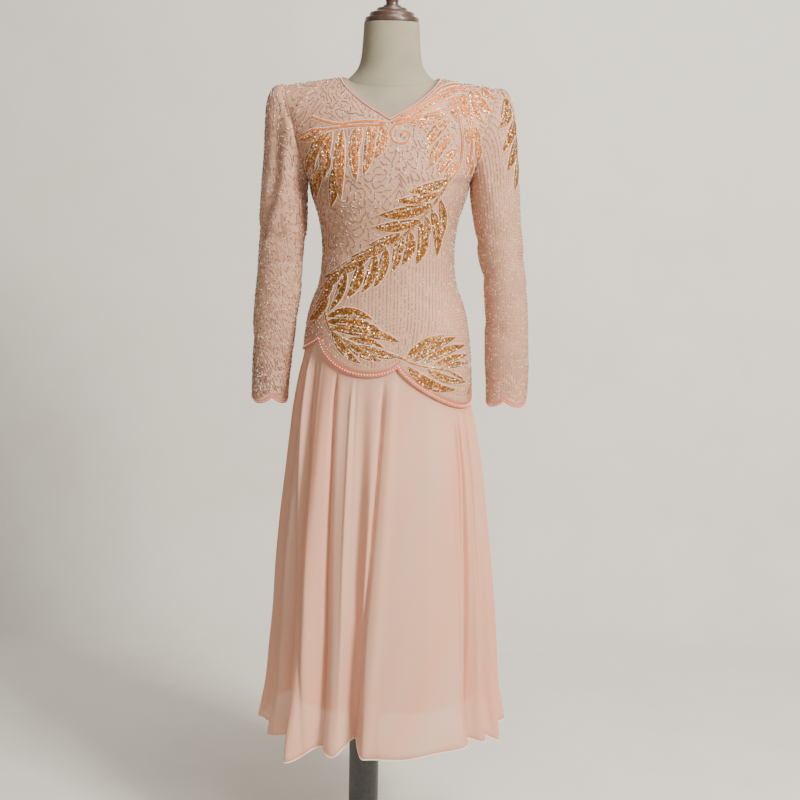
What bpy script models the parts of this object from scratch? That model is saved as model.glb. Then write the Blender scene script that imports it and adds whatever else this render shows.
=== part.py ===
"""Evening dress on a limbless dress form: beaded bodice, chiffon skirt, lining, form and stand."""

import math

import bmesh
import bpy
import numpy as np
from mathutils import Vector

MM = 0.001

# Cloth walls and the room left between pieces
BODICE_WALL = 1.5 * MM
SKIRT_WALL = 1.5 * MM
SEAM_GAP = 0.3 * MM
HALF_SEAM = SEAM_GAP / 2
LAYER_GAP = 0.7 * MM
FORM_INSET = BODICE_WALL + LAYER_GAP

# Steps of the numeric work
TINY = 1e-12
TOUCH = 1e-6
HALVINGS = 60
STEP_W = 0.004
STEP_Z = 0.6 * MM
SEAM_STEP = 1.0 * MM

# Heights on the figure
ARMPIT_Z = 1.335
SHOULDER_NECK_Z = 1.520
SHOULDER_NECK_X = 0.0936
SHOULDER_END_Z = 1.505
SHOULDER_END_X = 0.1955
BACK_NECK_Z = 1.505
FRONT_RISE_Z = 1.560
BACK_RISE_Z = 1.600
HIP_SEAM_Z = 1.106

# Armhole oval
ARMHOLE_FRONT = 0.056
ARMHOLE_BACK = 0.060
ARMHOLE_TURN = math.radians(38)
ARMHOLE_BLEND = 0.060
BOX_SHARE = 0.04
RISE_POWER = 0.5
RISE_POWER_INNER = 0.33

# Body of the bodice: height, half width, depth in front of and behind the side seam
BODY = (
    (0.900, 0.1665, 0.1215, 0.1400),
    (0.935, 0.1638, 0.1175, 0.1360),
    (0.985, 0.1608, 0.1125, 0.1310),
    (1.022, 0.1582, 0.1090, 0.1275),
    (1.056, 0.1540, 0.1060, 0.1225),
    (1.080, 0.1500, 0.1030, 0.1175),
    (1.106, 0.1432, 0.0990, 0.1095),
    (1.138, 0.1308, 0.095, 0.099),
    (1.157, 0.1264, 0.094, 0.093),
    (1.185, 0.1236, 0.094, 0.088),
    (1.205, 0.1230, 0.096, 0.087),
    (1.237, 0.1252, 0.103, 0.090),
    (1.272, 0.1320, 0.113, 0.098),
    (1.303, 0.1424, 0.120, 0.104),
    (1.335, 0.1500, 0.121, 0.107),
)

# Neck opening in front: distance from the middle, height
NECK_FRONT = (
    (0.0000, 1.4425), (0.0187, 1.4540), (0.0370, 1.4645), (0.0546, 1.4768),
    (0.0712, 1.4912), (0.0850, 1.5060), (0.0936, 1.5200),
)

# Scallops of the bodice hem: angle of the notch from the front in degrees, its height, drop after it
HEM_NOTCHES = (
    (-138.0, 1.025, 0.022),
    (-48.0, 1.047, 0.039),
    (6.6, 1.003, 0.052),
    (88.0, 0.949, 0.040),
    (155.0, 0.965, 0.034),
    (222.0, 1.025, 0.022),
)
SCALLOP_ROUND = 0.6

# Skirt outline: height, half width on the left and the right, depth in front and behind
SKIRT = (
    (0.262, 0.2440, 0.2400, 0.212, 0.220),
    (0.304, 0.2380, 0.2375, 0.208, 0.216),
    (0.362, 0.2273, 0.2260, 0.199, 0.209),
    (0.437, 0.2202, 0.2205, 0.190, 0.200),
    (0.510, 0.2134, 0.2150, 0.181, 0.191),
    (0.600, 0.2083, 0.2065, 0.168, 0.179),
    (0.695, 0.1999, 0.1955, 0.155, 0.167),
    (0.795, 0.1880, 0.1835, 0.141, 0.154),
    (0.860, 0.1804, 0.1722, 0.1270, 0.1440),
    (0.910, 0.1740, 0.1630, 0.1160, 0.1345),
    (0.935, 0.1698, 0.1600, 0.1125, 0.1310),
    (0.966, 0.1640, 0.1572, 0.1092, 0.1275),
    (1.010, 0.1566, 0.1545, 0.1052, 0.1238),
    (1.035, 0.1530, 0.1530, 0.1034, 0.1215),
)
SKIRT_TOP_Z = HIP_SEAM_Z
SKIRT_HEM_Z = 0.285
SKIRT_INSET = BODICE_WALL + LAYER_GAP
SKIRT_SLACK = 1.6 * MM
SKIRT_JOIN = 0.020

# Folds of the skirt: angle from the front in degrees, push out or in at the hem in mm, hem lift in mm
FOLDS = (
    (-86, -4, 6), (-78, 4, 14), (-68, -20, 10), (-58, 2, 2), (-48, -22, 8), (-37, 14, -20),
    (-27, -24, 4), (-19, -6, -4), (-12, -38, 22), (-6, 2, 2), (8, 3, 0), (24, 2, 8), (36, 2, 8),
    (44, -22, 12), (52, -2, 4), (59, -20, 4), (67, 2, -12), (76, -16, 2), (86, 3, 6),
    (96, -18, 8), (107, 2, -4), (118, -22, 8), (129, 4, -6), (141, -24, 8), (153, 3, -6),
    (165, -22, 6), (177, 5, -8), (190, -22, 8), (202, 3, -4), (214, -24, 8), (226, 4, -6),
    (239, -22, 6), (251, 3, -4), (263, -18, 8),
)
FOLD_STEPS = 3
FOLD_POWER = 0.85
FOLD_REACH = 1.1
SKIRT_ROW_SHARES = (0.0, 0.10, 0.23, 0.38, 0.53, 0.67, 0.78, 0.86, 0.93, 1.0)

# Lining under the chiffon
LINING_SEAT = 0.80 * MM
LINING_TOP_Z = 1.104
LINING_HEM_Z = 0.350
LINING_TOP_INSET = SKIRT_WALL + LINING_SEAT
LINING_HEM_INSET = 0.046
LINING_COLUMNS = 32
LINING_ROWS = (0.350, 0.560, 0.760, 0.880, 0.960, 1.015, 1.050, 1.083, 1.104)
LINING_SLACK = 2.2 * MM
LINING_SLACK_DROP = 0.018
LINING_POWER = 1.6

# Left sleeve: height and distance from the middle on its outer and its inner edge, half depths
SLEEVE_LEFT = (
    (1.5050, 0.1955, 1.3350, 0.1500, 0.056, 0.060),
    (1.5046, 0.2085, 1.3290, 0.1512, 0.057, 0.061),
    (1.4950, 0.2190, 1.3230, 0.1519, 0.056, 0.060),
    (1.4720, 0.2272, 1.3130, 0.1522, 0.055, 0.058),
    (1.4340, 0.2306, 1.2980, 0.1521, 0.053, 0.056),
    (1.3800, 0.2330, 1.2740, 0.1519, 0.051, 0.054),
    (1.3200, 0.2375, 1.2400, 0.1530, 0.048, 0.051),
    (1.2600, 0.2406, 1.1990, 0.1582, 0.045, 0.048),
    (1.2000, 0.2430, 1.1520, 0.1608, 0.042, 0.045),
    (1.1350, 0.2480, 1.1030, 0.1665, 0.039, 0.041),
    (1.0720, 0.2525, 1.0480, 0.1740, 0.035, 0.037),
    (1.0080, 0.2538, 0.9930, 0.1810, 0.032, 0.033),
    (0.9700, 0.2548, 0.9650, 0.1843, 0.030, 0.031),
    (0.9370, 0.2556, 0.9370, 0.1872, 0.029, 0.030),
)
SLEEVE_RIGHT = (
    (1.5050, 0.1955, 1.3350, 0.1500, 0.056, 0.060),
    (1.5030, 0.2080, 1.3280, 0.1508, 0.057, 0.061),
    (1.4910, 0.2180, 1.3200, 0.1509, 0.056, 0.060),
    (1.4640, 0.2282, 1.3080, 0.1512, 0.055, 0.058),
    (1.4300, 0.2341, 1.2920, 0.1532, 0.053, 0.056),
    (1.3800, 0.2374, 1.2680, 0.1575, 0.051, 0.054),
    (1.3200, 0.2420, 1.2350, 0.1626, 0.048, 0.051),
    (1.2600, 0.2464, 1.1980, 0.1686, 0.045, 0.048),
    (1.2000, 0.2550, 1.1600, 0.1778, 0.042, 0.045),
    (1.1350, 0.2618, 1.1100, 0.1832, 0.039, 0.041),
    (1.0720, 0.2658, 1.0500, 0.1850, 0.035, 0.037),
    (1.0080, 0.2692, 0.9950, 0.1870, 0.032, 0.033),
    (0.9700, 0.2694, 0.9650, 0.1895, 0.030, 0.031),
    (0.9370, 0.2680, 0.9370, 0.1912, 0.029, 0.030),
)
SLEEVE_COLUMNS = 20
CUFF_SCALLOPS = 4
CUFF_DROP = 0.016
CUFF_TURN = math.radians(20)

# Corded edges
CORD_RADIUS = 1.8 * MM
CORD_LIFT = 1.0 * MM
CORD_SIDES = 6
MITRE_LEAST = 0.4
MITRE_MOST = 1.5
BRAID_HALF_WIDTH = 4.0 * MM
BRAID_HALF_THICK = 1.5 * MM
CUFF_BRAID_HALF_WIDTH = 3.0 * MM

# Centre back fastening
BACK_EDGE = 2.5 * MM
ZIP_HALF_WIDTH = 2.2 * MM
ZIP_PROUD = 0.4 * MM
ZIP_FIRST_ROW = 2
SLIDER_ROW_DROP = 0.016
SLIDER_BED = 0.3 * MM
CHEEK_SINK = 0.4 * MM
PULL_NECK = 5.0 * MM
SLIDER_SIZE = (7.0 * MM, 2.6 * MM, 10.0 * MM)
CHEEK_SIZE = (1.2 * MM, 3.4 * MM, 4.0 * MM)
PULL_BARREL_RADIUS = 1.2 * MM
PULL_BARREL_LENGTH = 3.0 * MM
PULL_BARREL_SIDES = 12
PULL_WIDTH = 5.0 * MM
PULL_LENGTH = 24.0 * MM
PULL_THICK = 1.2 * MM

# Dress form and stand
FORM_BOTTOM_Z = 0.860
FORM_LOW_INSET = 11.5 * MM
FORM_LOW_ROWS = (0.860, 0.920, 0.985, 1.045, 1.085)
FORM_TAPER = 0.050
FORM_LOW_TO_Z = 1.110
FORM_FULL_FROM_Z = 1.150
NECK_RINGS = (
    (1.5190, 0.0775, -0.0570, 0.0545, -0.018),
    (1.5300, 0.0664, -0.0520, 0.0535, -0.012),
    (1.5421, 0.0590, -0.0475, 0.0530, -0.008),
    (1.5583, 0.0550, -0.0450, 0.0530, -0.004),
    (1.5776, 0.0530, -0.0440, 0.0530, 0.000),
    (1.5999, 0.0515, -0.0440, 0.0530, 0.000),
    (1.6195, 0.0505, -0.0435, 0.0530, 0.000),
)
NECK_AXIS_Y = 0.0048
CAP_PROFILE = (
    (0.0490, 1.6200), (0.0495, 1.6240), (0.0480, 1.6285), (0.0415, 1.6310), (0.0405, 1.6365),
    (0.0380, 1.6385), (0.0290, 1.6410), (0.0270, 1.6450), (0.0170, 1.6470), (0.0160, 1.6500),
)
FINIAL_PROFILE = (
    (0.0120, 1.6503), (0.0115, 1.6560), (0.0130, 1.6610), (0.0185, 1.6690), (0.0200, 1.6770),
    (0.0180, 1.6850), (0.0110, 1.6920), (0.0030, 1.6945),
)
LATHE_SIDES = 20
DISC_SIDES = 32
COLUMN_X = -0.033
COLUMN_RADIUS = 0.0295
FOOT_RADIUS = 0.165
FOOT_THICK = 0.010
FOOT_BEVEL = 2.0 * MM
FOOT_BEVEL_STEPS = 2
PLATE_RADIUS = 0.052
PLATE_THICK = 0.012

# Grid of the bodice
OUTER_COLUMNS = 6
INNER_COLUMNS = 6
HEM_ROWS = 4
BODY_ROWS = (1.130, 1.160, 1.195, 1.230, 1.265, 1.300)
CHEST_ROWS = 7

MATERIALS = {
    "beaded_silk": ((0.83, 0.62, 0.54), 0.55, 0.0),
    "corded_edge": ((0.86, 0.52, 0.44), 0.45, 0.0),
    "chiffon": ((0.88, 0.70, 0.60), 0.75, 0.0),
    "lining_satin": ((0.88, 0.66, 0.56), 0.45, 0.0),
    "zip_tape": ((0.82, 0.60, 0.52), 0.60, 0.0),
    "zip_metal": ((0.78, 0.70, 0.55), 0.30, 1.0),
    "form_linen": ((0.42, 0.38, 0.32), 0.85, 0.0),
    "turned_wood": ((0.10, 0.06, 0.04), 0.35, 0.0),
    "black_steel": ((0.03, 0.03, 0.03), 0.40, 0.0),
}


def curve_through(table, column, at):
    """Smooth value of a table's column between its rows."""
    keys = np.array([row[0] for row in table])
    values = np.array([row[column] for row in table])
    slopes = np.gradient(values, keys)
    at = min(max(at, keys[0]), keys[-1])
    i = min(int(np.searchsorted(keys, at, side="right")) - 1, len(keys) - 2)
    width = keys[i + 1] - keys[i]
    f = (at - keys[i]) / width
    start = (1 + 2 * f) * (1 - f) ** 2 * values[i] + f * (1 - f) ** 2 * width * slopes[i]
    end = f * f * (3 - 2 * f) * values[i + 1] + f * f * (f - 1) * width * slopes[i + 1]
    return float(start + end)


def ease(f):
    f = min(max(f, 0.0), 1.0)
    return f * f * (3 - 2 * f)


def unit(v):
    length = np.linalg.norm(v)
    return v / length if length > 0 else v


# Surface of the bodice
def half_width(z):
    if z <= ARMPIT_Z:
        return curve_through(BODY, 1, z)
    share = (z - ARMPIT_Z) / (SHOULDER_END_Z - ARMPIT_Z)
    pit = BODY[-1][1]
    return pit + (SHOULDER_END_X - pit) * share


def shoulder_height(x):
    """Height of the shoulder line, the same on both sides."""
    share = (abs(x) - SHOULDER_NECK_X) / (SHOULDER_END_X - SHOULDER_NECK_X)
    return SHOULDER_NECK_Z + (SHOULDER_END_Z - SHOULDER_NECK_Z) * share


def rise_height(x, back):
    """Height at which a column's depth would run out."""
    if abs(x) >= SHOULDER_NECK_X:
        return shoulder_height(x)
    top = BACK_RISE_Z if back else FRONT_RISE_Z
    share = ease(abs(x) / SHOULDER_NECK_X)
    return top + (SHOULDER_NECK_Z - top) * share


def armhole_depth(z, back):
    if z <= ARMPIT_Z:
        return 0.0
    middle = (ARMPIT_Z + SHOULDER_END_Z) / 2
    reach = (SHOULDER_END_Z - ARMPIT_Z) / 2
    depth = ARMHOLE_BACK if back else ARMHOLE_FRONT
    return depth * math.sqrt(max(0.0, 1 - ((z - middle) / reach) ** 2))


def across(w, z):
    """Turn of a column at a height, and its distance from the middle."""
    turn = math.pi / 2 - ARMHOLE_TURN * ease((z - ARMPIT_Z) / ARMHOLE_BLEND)
    angle = turn * w

    def reach(a):
        return math.sin(a) + BOX_SHARE * math.sin(3 * a)

    return angle, turn, half_width(z) * reach(angle) / reach(turn)


def body_point(w, z, back):
    """Point of the outer face. w runs from -1 to 1 across the front or the back."""
    angle, turn, x = across(w, z)
    column = 3 if back else 2
    if z <= ARMPIT_Z:
        depth = curve_through(BODY, column, z)
    else:
        top = rise_height(x, back)
        up = min(1.0, (z - ARMPIT_Z) / (top - ARMPIT_Z))
        inner = 1 - ease(abs(x) / SHOULDER_NECK_X)
        power = RISE_POWER + RISE_POWER_INNER * inner
        depth = BODY[-1][column] * max(0.0, 1 - up * up) ** power
    edge = armhole_depth(z, back)
    share = (math.cos(angle) - math.cos(turn)) / (1 - math.cos(turn))
    y = edge + (depth - edge) * share
    if abs(x) > SHOULDER_NECK_X and z > ARMPIT_Z:
        y = max(y, 0.0)
    return np.array((x, y if back else -y, z))


def neck_height(x, back):
    x = abs(x)
    if back:
        return BACK_NECK_Z + (SHOULDER_NECK_Z - BACK_NECK_Z) * (x / SHOULDER_NECK_X) ** 2
    return curve_through(NECK_FRONT, 1, x)


def column_top(w, back):
    """Height where a column meets the neck opening or the shoulder seam."""
    z = SHOULDER_END_Z
    for _ in range(HALVINGS):
        x = abs(across(w, z)[2])
        goal = shoulder_height(x) if abs(w) >= NECK_COLUMN_AT else neck_height(x, back)
        z += (goal - z) / 2
    return z


def find_neck_column():
    low, high = 0.0, 1.0
    for _ in range(HALVINGS):
        middle = (low + high) / 2
        if across(middle, SHOULDER_NECK_Z)[2] < SHOULDER_NECK_X:
            low = middle
        else:
            high = middle
    return (low + high) / 2


NECK_COLUMN_AT = find_neck_column()


def hem_height(degrees):
    """Height of the scalloped hem at an angle from the front."""
    first = HEM_NOTCHES[0][0]
    degrees = (degrees - first) % 360.0 + first
    for start, end in zip(HEM_NOTCHES, HEM_NOTCHES[1:]):
        if degrees <= end[0]:
            f = (degrees - start[0]) / (end[0] - start[0])
            f = min(max(f, 0.0), 1.0)
            base = start[1] + (end[1] - start[1]) * f
            return base - start[2] * math.sin(math.pi * f) ** SCALLOP_ROUND
    return HEM_NOTCHES[-1][1]


def column_degrees(w, back):
    return 180.0 - 90.0 * w if back else 90.0 * w


def columns():
    past_neck = 1 - NECK_COLUMN_AT
    outer = [NECK_COLUMN_AT + past_neck * i / OUTER_COLUMNS for i in range(1, OUTER_COLUMNS + 1)]
    inner = [NECK_COLUMN_AT * i / INNER_COLUMNS for i in range(1, INNER_COLUMNS + 1)]
    right = inner + outer
    return [-w for w in reversed(right)] + [0.0] + right


def column_heights(w, back):
    """Heights of a column's points from the hem to its top."""
    hem = hem_height(column_degrees(w, back)) + 2 * BRAID_HALF_WIDTH + SEAM_GAP
    low = [hem + (HIP_SEAM_Z - hem) * i / HEM_ROWS for i in range(HEM_ROWS)]
    top = column_top(w, back)
    rise = rise_height(across(w, top)[2], back)
    last = math.asin(min(1.0, (top - ARMPIT_Z) / (rise - ARMPIT_Z)))
    turns = [last * i / CHEST_ROWS for i in range(CHEST_ROWS + 1)]
    chest = [ARMPIT_Z + (rise - ARMPIT_Z) * math.sin(turn) for turn in turns]
    return low + [HIP_SEAM_Z] + list(BODY_ROWS) + chest


def body_normal(w, z, back, top):
    """Outward direction of the outer face."""
    w = min(max(w, -1 + STEP_W), 1 - STEP_W)
    z = min(z, top - STEP_Z)
    along = body_point(w + STEP_W, z, back) - body_point(w - STEP_W, z, back)
    up = body_point(w, z + STEP_Z, back) - body_point(w, z - STEP_Z, back)
    normal = np.cross(along, up)
    return unit(-normal if back else normal)


def body_grid(back):
    """Outer points and outward directions of the front or the back, hem to top."""
    points, normals = [], []
    for w in columns():
        heights = column_heights(w, back)
        top = heights[-1]
        points.append([body_point(w, z, back) for z in heights])
        normals.append([body_normal(w, z, back, top) for z in heights])
    points = np.array(points).transpose(1, 0, 2)
    normals = np.array(normals).transpose(1, 0, 2)
    return points, level_seams(points, normals)


def level_seams(points, normals):
    """Side seams face sideways and shoulder seams face up on both panels."""
    for row in range(len(normals) - CHEST_ROWS):
        for column, sign in ((0, -1), (-1, 1)):
            normals[row, column] = side_normal(points[row, column, 2], sign)
    fall = (SHOULDER_NECK_Z - SHOULDER_END_Z) / (SHOULDER_END_X - SHOULDER_NECK_X)
    for column, w in enumerate(columns()):
        if abs(w) >= NECK_COLUMN_AT - TOUCH:
            normals[-1, column] = unit(np.array((math.copysign(fall, w), 0.0, 1.0)))
    return normals


def side_normal(z, sign):
    """Outward direction at the side seam, up to the armpit."""
    z = min(z, ARMPIT_Z - SEAM_STEP)
    slope = (half_width(z + SEAM_STEP) - half_width(z - SEAM_STEP)) / (2 * SEAM_STEP)
    return unit(np.array((sign, 0.0, -slope)))


# Mesh helpers
def clear_scene():
    for obj in list(bpy.data.objects):
        bpy.data.objects.remove(obj, do_unlink=True)


def material(name):
    found = bpy.data.materials.get(name)
    if found:
        return found
    colour, roughness, metallic = MATERIALS[name]
    made = bpy.data.materials.new(name)
    made.use_nodes = True
    shader = made.node_tree.nodes["Principled BSDF"]
    shader.inputs["Base Color"].default_value = (*colour, 1.0)
    shader.inputs["Roughness"].default_value = roughness
    shader.inputs["Metallic"].default_value = metallic
    return made


def finish_mesh(name, bm, slot, smooth=True):
    bmesh.ops.remove_doubles(bm, verts=bm.verts, dist=TOUCH)
    bmesh.ops.recalc_face_normals(bm, faces=bm.faces)
    mesh = bpy.data.meshes.new(name)
    bm.to_mesh(mesh)
    bm.free()
    for face in mesh.polygons:
        face.use_smooth = smooth
    obj = bpy.data.objects.new(name, mesh)
    bpy.context.scene.collection.objects.link(obj)
    mesh.materials.append(material(slot))
    return obj


def face_pair(bm, a, b, c, d, flip=False):
    """Two triangles that share the diagonal from a to c, so stacked walls stay parallel."""
    for corners in ((a, b, c), (a, c, d)):
        bm.faces.new(tuple(reversed(corners)) if flip else corners)


def wall(name, outer, inner, slot, closed=False):
    """Solid between two point grids of rows and columns."""
    bm = bmesh.new()
    rows, count = outer.shape[0], outer.shape[1]
    out = [[bm.verts.new(p) for p in row] for row in outer]
    into = [[bm.verts.new(p) for p in row] for row in inner]
    last = count if closed else count - 1
    for r in range(rows - 1):
        for c in range(last):
            d = (c + 1) % count
            face_pair(bm, out[r][c], out[r][d], out[r + 1][d], out[r + 1][c])
            face_pair(bm, into[r][c], into[r][d], into[r + 1][d], into[r + 1][c], flip=True)
    for c in range(last):
        d = (c + 1) % count
        bm.faces.new((out[0][c], into[0][c], into[0][d], out[0][d]))
        bm.faces.new((out[-1][c], out[-1][d], into[-1][d], into[-1][c]))
    if not closed:
        for r in range(rows - 1):
            bm.faces.new((out[r][0], out[r + 1][0], into[r + 1][0], into[r][0]))
            bm.faces.new((out[r][-1], into[r][-1], into[r + 1][-1], out[r + 1][-1]))
    return finish_mesh(name, bm, slot)


def ring_normals(grid):
    """Outward directions of closed rings of points."""
    around = np.roll(grid, -1, axis=1) - np.roll(grid, 1, axis=1)
    up = np.gradient(grid, axis=0)
    normals = np.cross(around, up)
    lengths = np.linalg.norm(normals, axis=2, keepdims=True)
    return normals / np.maximum(lengths, TINY)


def swept_edge(name, points, outward, half_width_of, half_thick, slot):
    """Closed cord or braid along a loop, its width lying in the cloth's face."""
    points, outward = np.array(points), np.array(outward)
    along = np.roll(points, -1, axis=0) - np.roll(points, 1, axis=0)
    along = np.array([unit(v) for v in along])
    side = np.array([unit(v) for v in np.cross(along, outward)])
    face = np.array([unit(v) for v in np.cross(side, along)])
    ring = []
    for i in range(CORD_SIDES):
        a = 2 * math.pi * i / CORD_SIDES
        ring.append(points + side * half_width_of * math.cos(a) + face * half_thick * math.sin(a))
    bm = bmesh.new()
    verts = [[bm.verts.new(p) for p in line] for line in ring]
    count = len(points)
    for i in range(CORD_SIDES):
        j = (i + 1) % CORD_SIDES
        for c in range(count):
            d = (c + 1) % count
            bm.faces.new((verts[i][c], verts[i][d], verts[j][d], verts[j][c]))
    return finish_mesh(name, bm, slot)


def lathe(name, profile, slot, centre=(0.0, 0.0)):
    bm = bmesh.new()
    rings = []
    for radius, z in profile:
        circle = bmesh.ops.create_circle(bm, cap_ends=False, radius=radius, segments=LATHE_SIDES)
        for vert in circle["verts"]:
            vert.co += Vector((centre[0], centre[1], z))
        rings.append(circle["verts"])
    for low, high in zip(rings, rings[1:]):
        for i in range(LATHE_SIDES):
            j = (i + 1) % LATHE_SIDES
            bm.faces.new((low[i], low[j], high[j], high[i]))
    bm.faces.new(list(reversed(rings[0])))
    bm.faces.new(rings[-1])
    return finish_mesh(name, bm, slot)


# Bodice
def bodice_panel(points, normals, back):
    """Outer and inner points of a panel, drawn back by half a seam where it meets the other one."""
    shift = HALF_SEAM if back else -HALF_SEAM
    outer = points.copy()
    inner = points - normals * BODICE_WALL
    for grid in (outer, inner):
        grid[:, 0, 1] += shift
        grid[:, -1, 1] += shift
        for column, w in enumerate(columns()):
            if NECK_COLUMN_AT - TOUCH <= abs(w) < 1:
                grid[-1, column, 1] += shift
    return outer, inner


def add_bodice(front, front_normals, back, back_normals):
    outer, inner = bodice_panel(front, front_normals, False)
    wall("bodice_front", outer, inner, "beaded_silk")
    outer, inner = bodice_panel(back, back_normals, True)
    middle = OUTER_COLUMNS + INNER_COLUMNS
    sides = (
        ("bodice_back_left", slice(0, middle + 1), -1, -1),
        ("bodice_back_right", slice(middle, None), 0, 1),
    )
    for name, keep, edge, sign in sides:
        out, into = outer[:, keep].copy(), inner[:, keep].copy()
        for row in range(len(out)):
            reach = HALF_SEAM if row < ZIP_FIRST_ROW else BACK_EDGE
            out[row, edge, 0] = sign * reach
            into[row, edge, 0] = sign * reach
        wall(name, out, into, "beaded_silk")


def around(front_row, back_row):
    """Loop of columns: across the front from left to right, then back across the back."""
    return np.concatenate([front_row, back_row[::-1][1:-1]])


def edge_offset(points, outward, distance):
    """Loop moved sideways in the cloth's face, its corners kept at full width."""
    ahead = np.roll(points, -1, axis=0) - points
    behind = points - np.roll(points, 1, axis=0)
    moved = []
    for here, a, b, n in zip(points, ahead, behind, outward):
        side_a, side_b = unit(np.cross(a, n)), unit(np.cross(b, n))
        side = unit(side_a + side_b)
        stretch = min(MITRE_MOST, 1 / max(MITRE_LEAST, float(side @ side_a)))
        moved.append(here + side * distance * stretch)
    return np.array(moved)


def add_hem_braid(front, front_normals, back, back_normals):
    edge = around(front[0], back[0])
    outward = around(front_normals[0], back_normals[0])
    middle = edge_offset(edge, outward, BRAID_HALF_WIDTH + SEAM_GAP)
    swept_edge("hem_braid", middle, outward, BRAID_HALF_WIDTH, BRAID_HALF_THICK, "corded_edge")


def neck_loop(front, back):
    """Open loop of the neck edge, from the middle of the back round the front and back again."""
    middle = OUTER_COLUMNS + INNER_COLUMNS
    low, high = OUTER_COLUMNS, middle + INNER_COLUMNS
    right = back[middle:high + 1]
    left = back[low:middle + 1]
    return np.concatenate([left[::-1], front[low + 1:high], right[::-1]])


def add_neck_cord(front, front_normals, back, back_normals):
    edge = neck_loop(front[-1], back[-1])
    outward = neck_loop(front_normals[-1], back_normals[-1])
    edge[0, 0], edge[-1, 0] = -BACK_EDGE, BACK_EDGE
    ahead = np.gradient(edge, axis=0)
    side = np.array([unit(np.cross(n, a)) for n, a in zip(outward, ahead)])
    side[0], side[-1] = (0, side[0][1], side[0][2]), (0, side[-1][1], side[-1][2])
    middle = edge + side * (CORD_RADIUS + SEAM_GAP) + outward * CORD_LIFT
    open_cord("neck_cord", middle, outward, CORD_RADIUS, "corded_edge")


def open_cord(name, points, outward, radius, slot):
    ahead = np.gradient(points, axis=0)
    bm = bmesh.new()
    rings = []
    for i, (here, a, n) in enumerate(zip(points, ahead, outward)):
        a = unit(a)
        if i in (0, len(points) - 1):
            a = np.array((math.copysign(1.0, a[0]), 0.0, 0.0))
        side = unit(np.cross(n, a))
        face = unit(np.cross(a, side))
        ring = []
        for k in range(CORD_SIDES):
            t = 2 * math.pi * k / CORD_SIDES
            ring.append(bm.verts.new(here + radius * (side * math.cos(t) + face * math.sin(t))))
        rings.append(ring)
    for low, high in zip(rings, rings[1:]):
        for i in range(CORD_SIDES):
            j = (i + 1) % CORD_SIDES
            bm.faces.new((low[i], low[j], high[j], high[i]))
    bm.faces.new(list(reversed(rings[0])))
    bm.faces.new(rings[-1])
    return finish_mesh(name, bm, slot)


# Sleeves
def sleeve_grid(table, side):
    """Outer points of a sleeve, armhole to cuff. side is -1 on the left and 1 on the right."""
    rows = []
    plane = unit(np.array((SHOULDER_END_Z - ARMPIT_Z, 0.0, -(SHOULDER_END_X - BODY[-1][1]))))
    for index, (top_z, top_x, low_z, low_x, front, back) in enumerate(table):
        high, low = np.array((top_x, 0.0, top_z)), np.array((low_x, 0.0, low_z))
        centre, reach = (high + low) / 2, (high - low) / 2
        ring = []
        for i in range(SLEEVE_COLUMNS):
            a = 2 * math.pi * i / SLEEVE_COLUMNS
            depth = back if math.sin(a) > 0 else front
            point = centre + reach * math.cos(a) + np.array((0.0, depth * math.sin(a), 0.0))
            if index == 0:
                point = point + plane * SEAM_GAP
            if index == len(table) - 1:
                wave = abs(math.sin(CUFF_SCALLOPS / 2 * a + CUFF_TURN))
                point[2] -= CUFF_DROP * wave ** SCALLOP_ROUND
            ring.append(point)
        rows.append(ring)
    grid = np.array(rows)
    normals = ring_normals(grid)
    centre = grid.mean(axis=1, keepdims=True)
    if ((grid - centre) * normals).sum() < 0:
        normals = -normals
    flat = normals[0] - np.outer(normals[0] @ plane, plane)
    normals[0] = np.array([unit(v) for v in flat])
    mirror = np.array((side, 1.0, 1.0))
    return grid * mirror, normals * mirror


def add_sleeve(name, table, side):
    grid, normals = sleeve_grid(table, side)
    wall("sleeve_" + name, grid, grid - normals * BODICE_WALL, "beaded_silk", closed=True)
    edge, outward = grid[-1], normals[-1]
    outward = np.array([unit(v * (1, 1, 0)) for v in outward])
    drop = edge_offset(edge, outward, CUFF_BRAID_HALF_WIDTH + SEAM_GAP)
    if drop[:, 2].mean() > edge[:, 2].mean():
        drop = edge_offset(edge, outward, -CUFF_BRAID_HALF_WIDTH - SEAM_GAP)
    swept_edge("cuff_braid_" + name, drop, outward, CUFF_BRAID_HALF_WIDTH, BRAID_HALF_THICK,
               "corded_edge")


# Skirt
def skirt_size(z, column):
    """Half width on the left (1) or right (2), or depth in front (3) or behind (4)."""
    joins = SKIRT[-1][0]
    if z <= joins:
        return curve_through(SKIRT, column, z)
    front, back = curve_through(BODY, 2, z), curve_through(BODY, 3, z)
    body = {1: half_width(z), 2: half_width(z), 3: front, 4: back}
    share = ease((z - joins) / SKIRT_JOIN)
    slack = SKIRT_SLACK * (1 - ease((z - joins) / (SKIRT_TOP_Z - joins)))
    return SKIRT[-1][column] * (1 - share) + (body[column] - SKIRT_INSET - slack) * share


def skirt_frame(degrees, z):
    """Point of the skirt's plain outline and its outward direction."""
    a = math.radians(degrees)
    wide = skirt_size(z, 2 if math.sin(a) > 0 else 1)
    deep = skirt_size(z, 3 if math.cos(a) > 0 else 4)
    reach = (math.sin(a) + BOX_SHARE * math.sin(3 * a)) / (1 - BOX_SHARE)
    point = np.array((wide * reach, -deep * math.cos(a), z))
    outward = unit(np.array((point[0] / wide ** 2, point[1] / deep ** 2, 0.0)))
    return point, outward


def fold_columns():
    """Angle, push and hem lift of each column, eased between the folds."""
    listed = []
    last = FOLDS[0]
    loop = list(FOLDS) + [(last[0] + 360, last[1], last[2])]
    for start, end in zip(loop, loop[1:]):
        for i in range(FOLD_STEPS):
            f = i / FOLD_STEPS
            share = ease(f)
            values = [start[k] + (end[k] - start[k]) * share for k in (1, 2)]
            listed.append((start[0] + (end[0] - start[0]) * f, values[0] * MM, values[1] * MM))
    return listed


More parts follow.
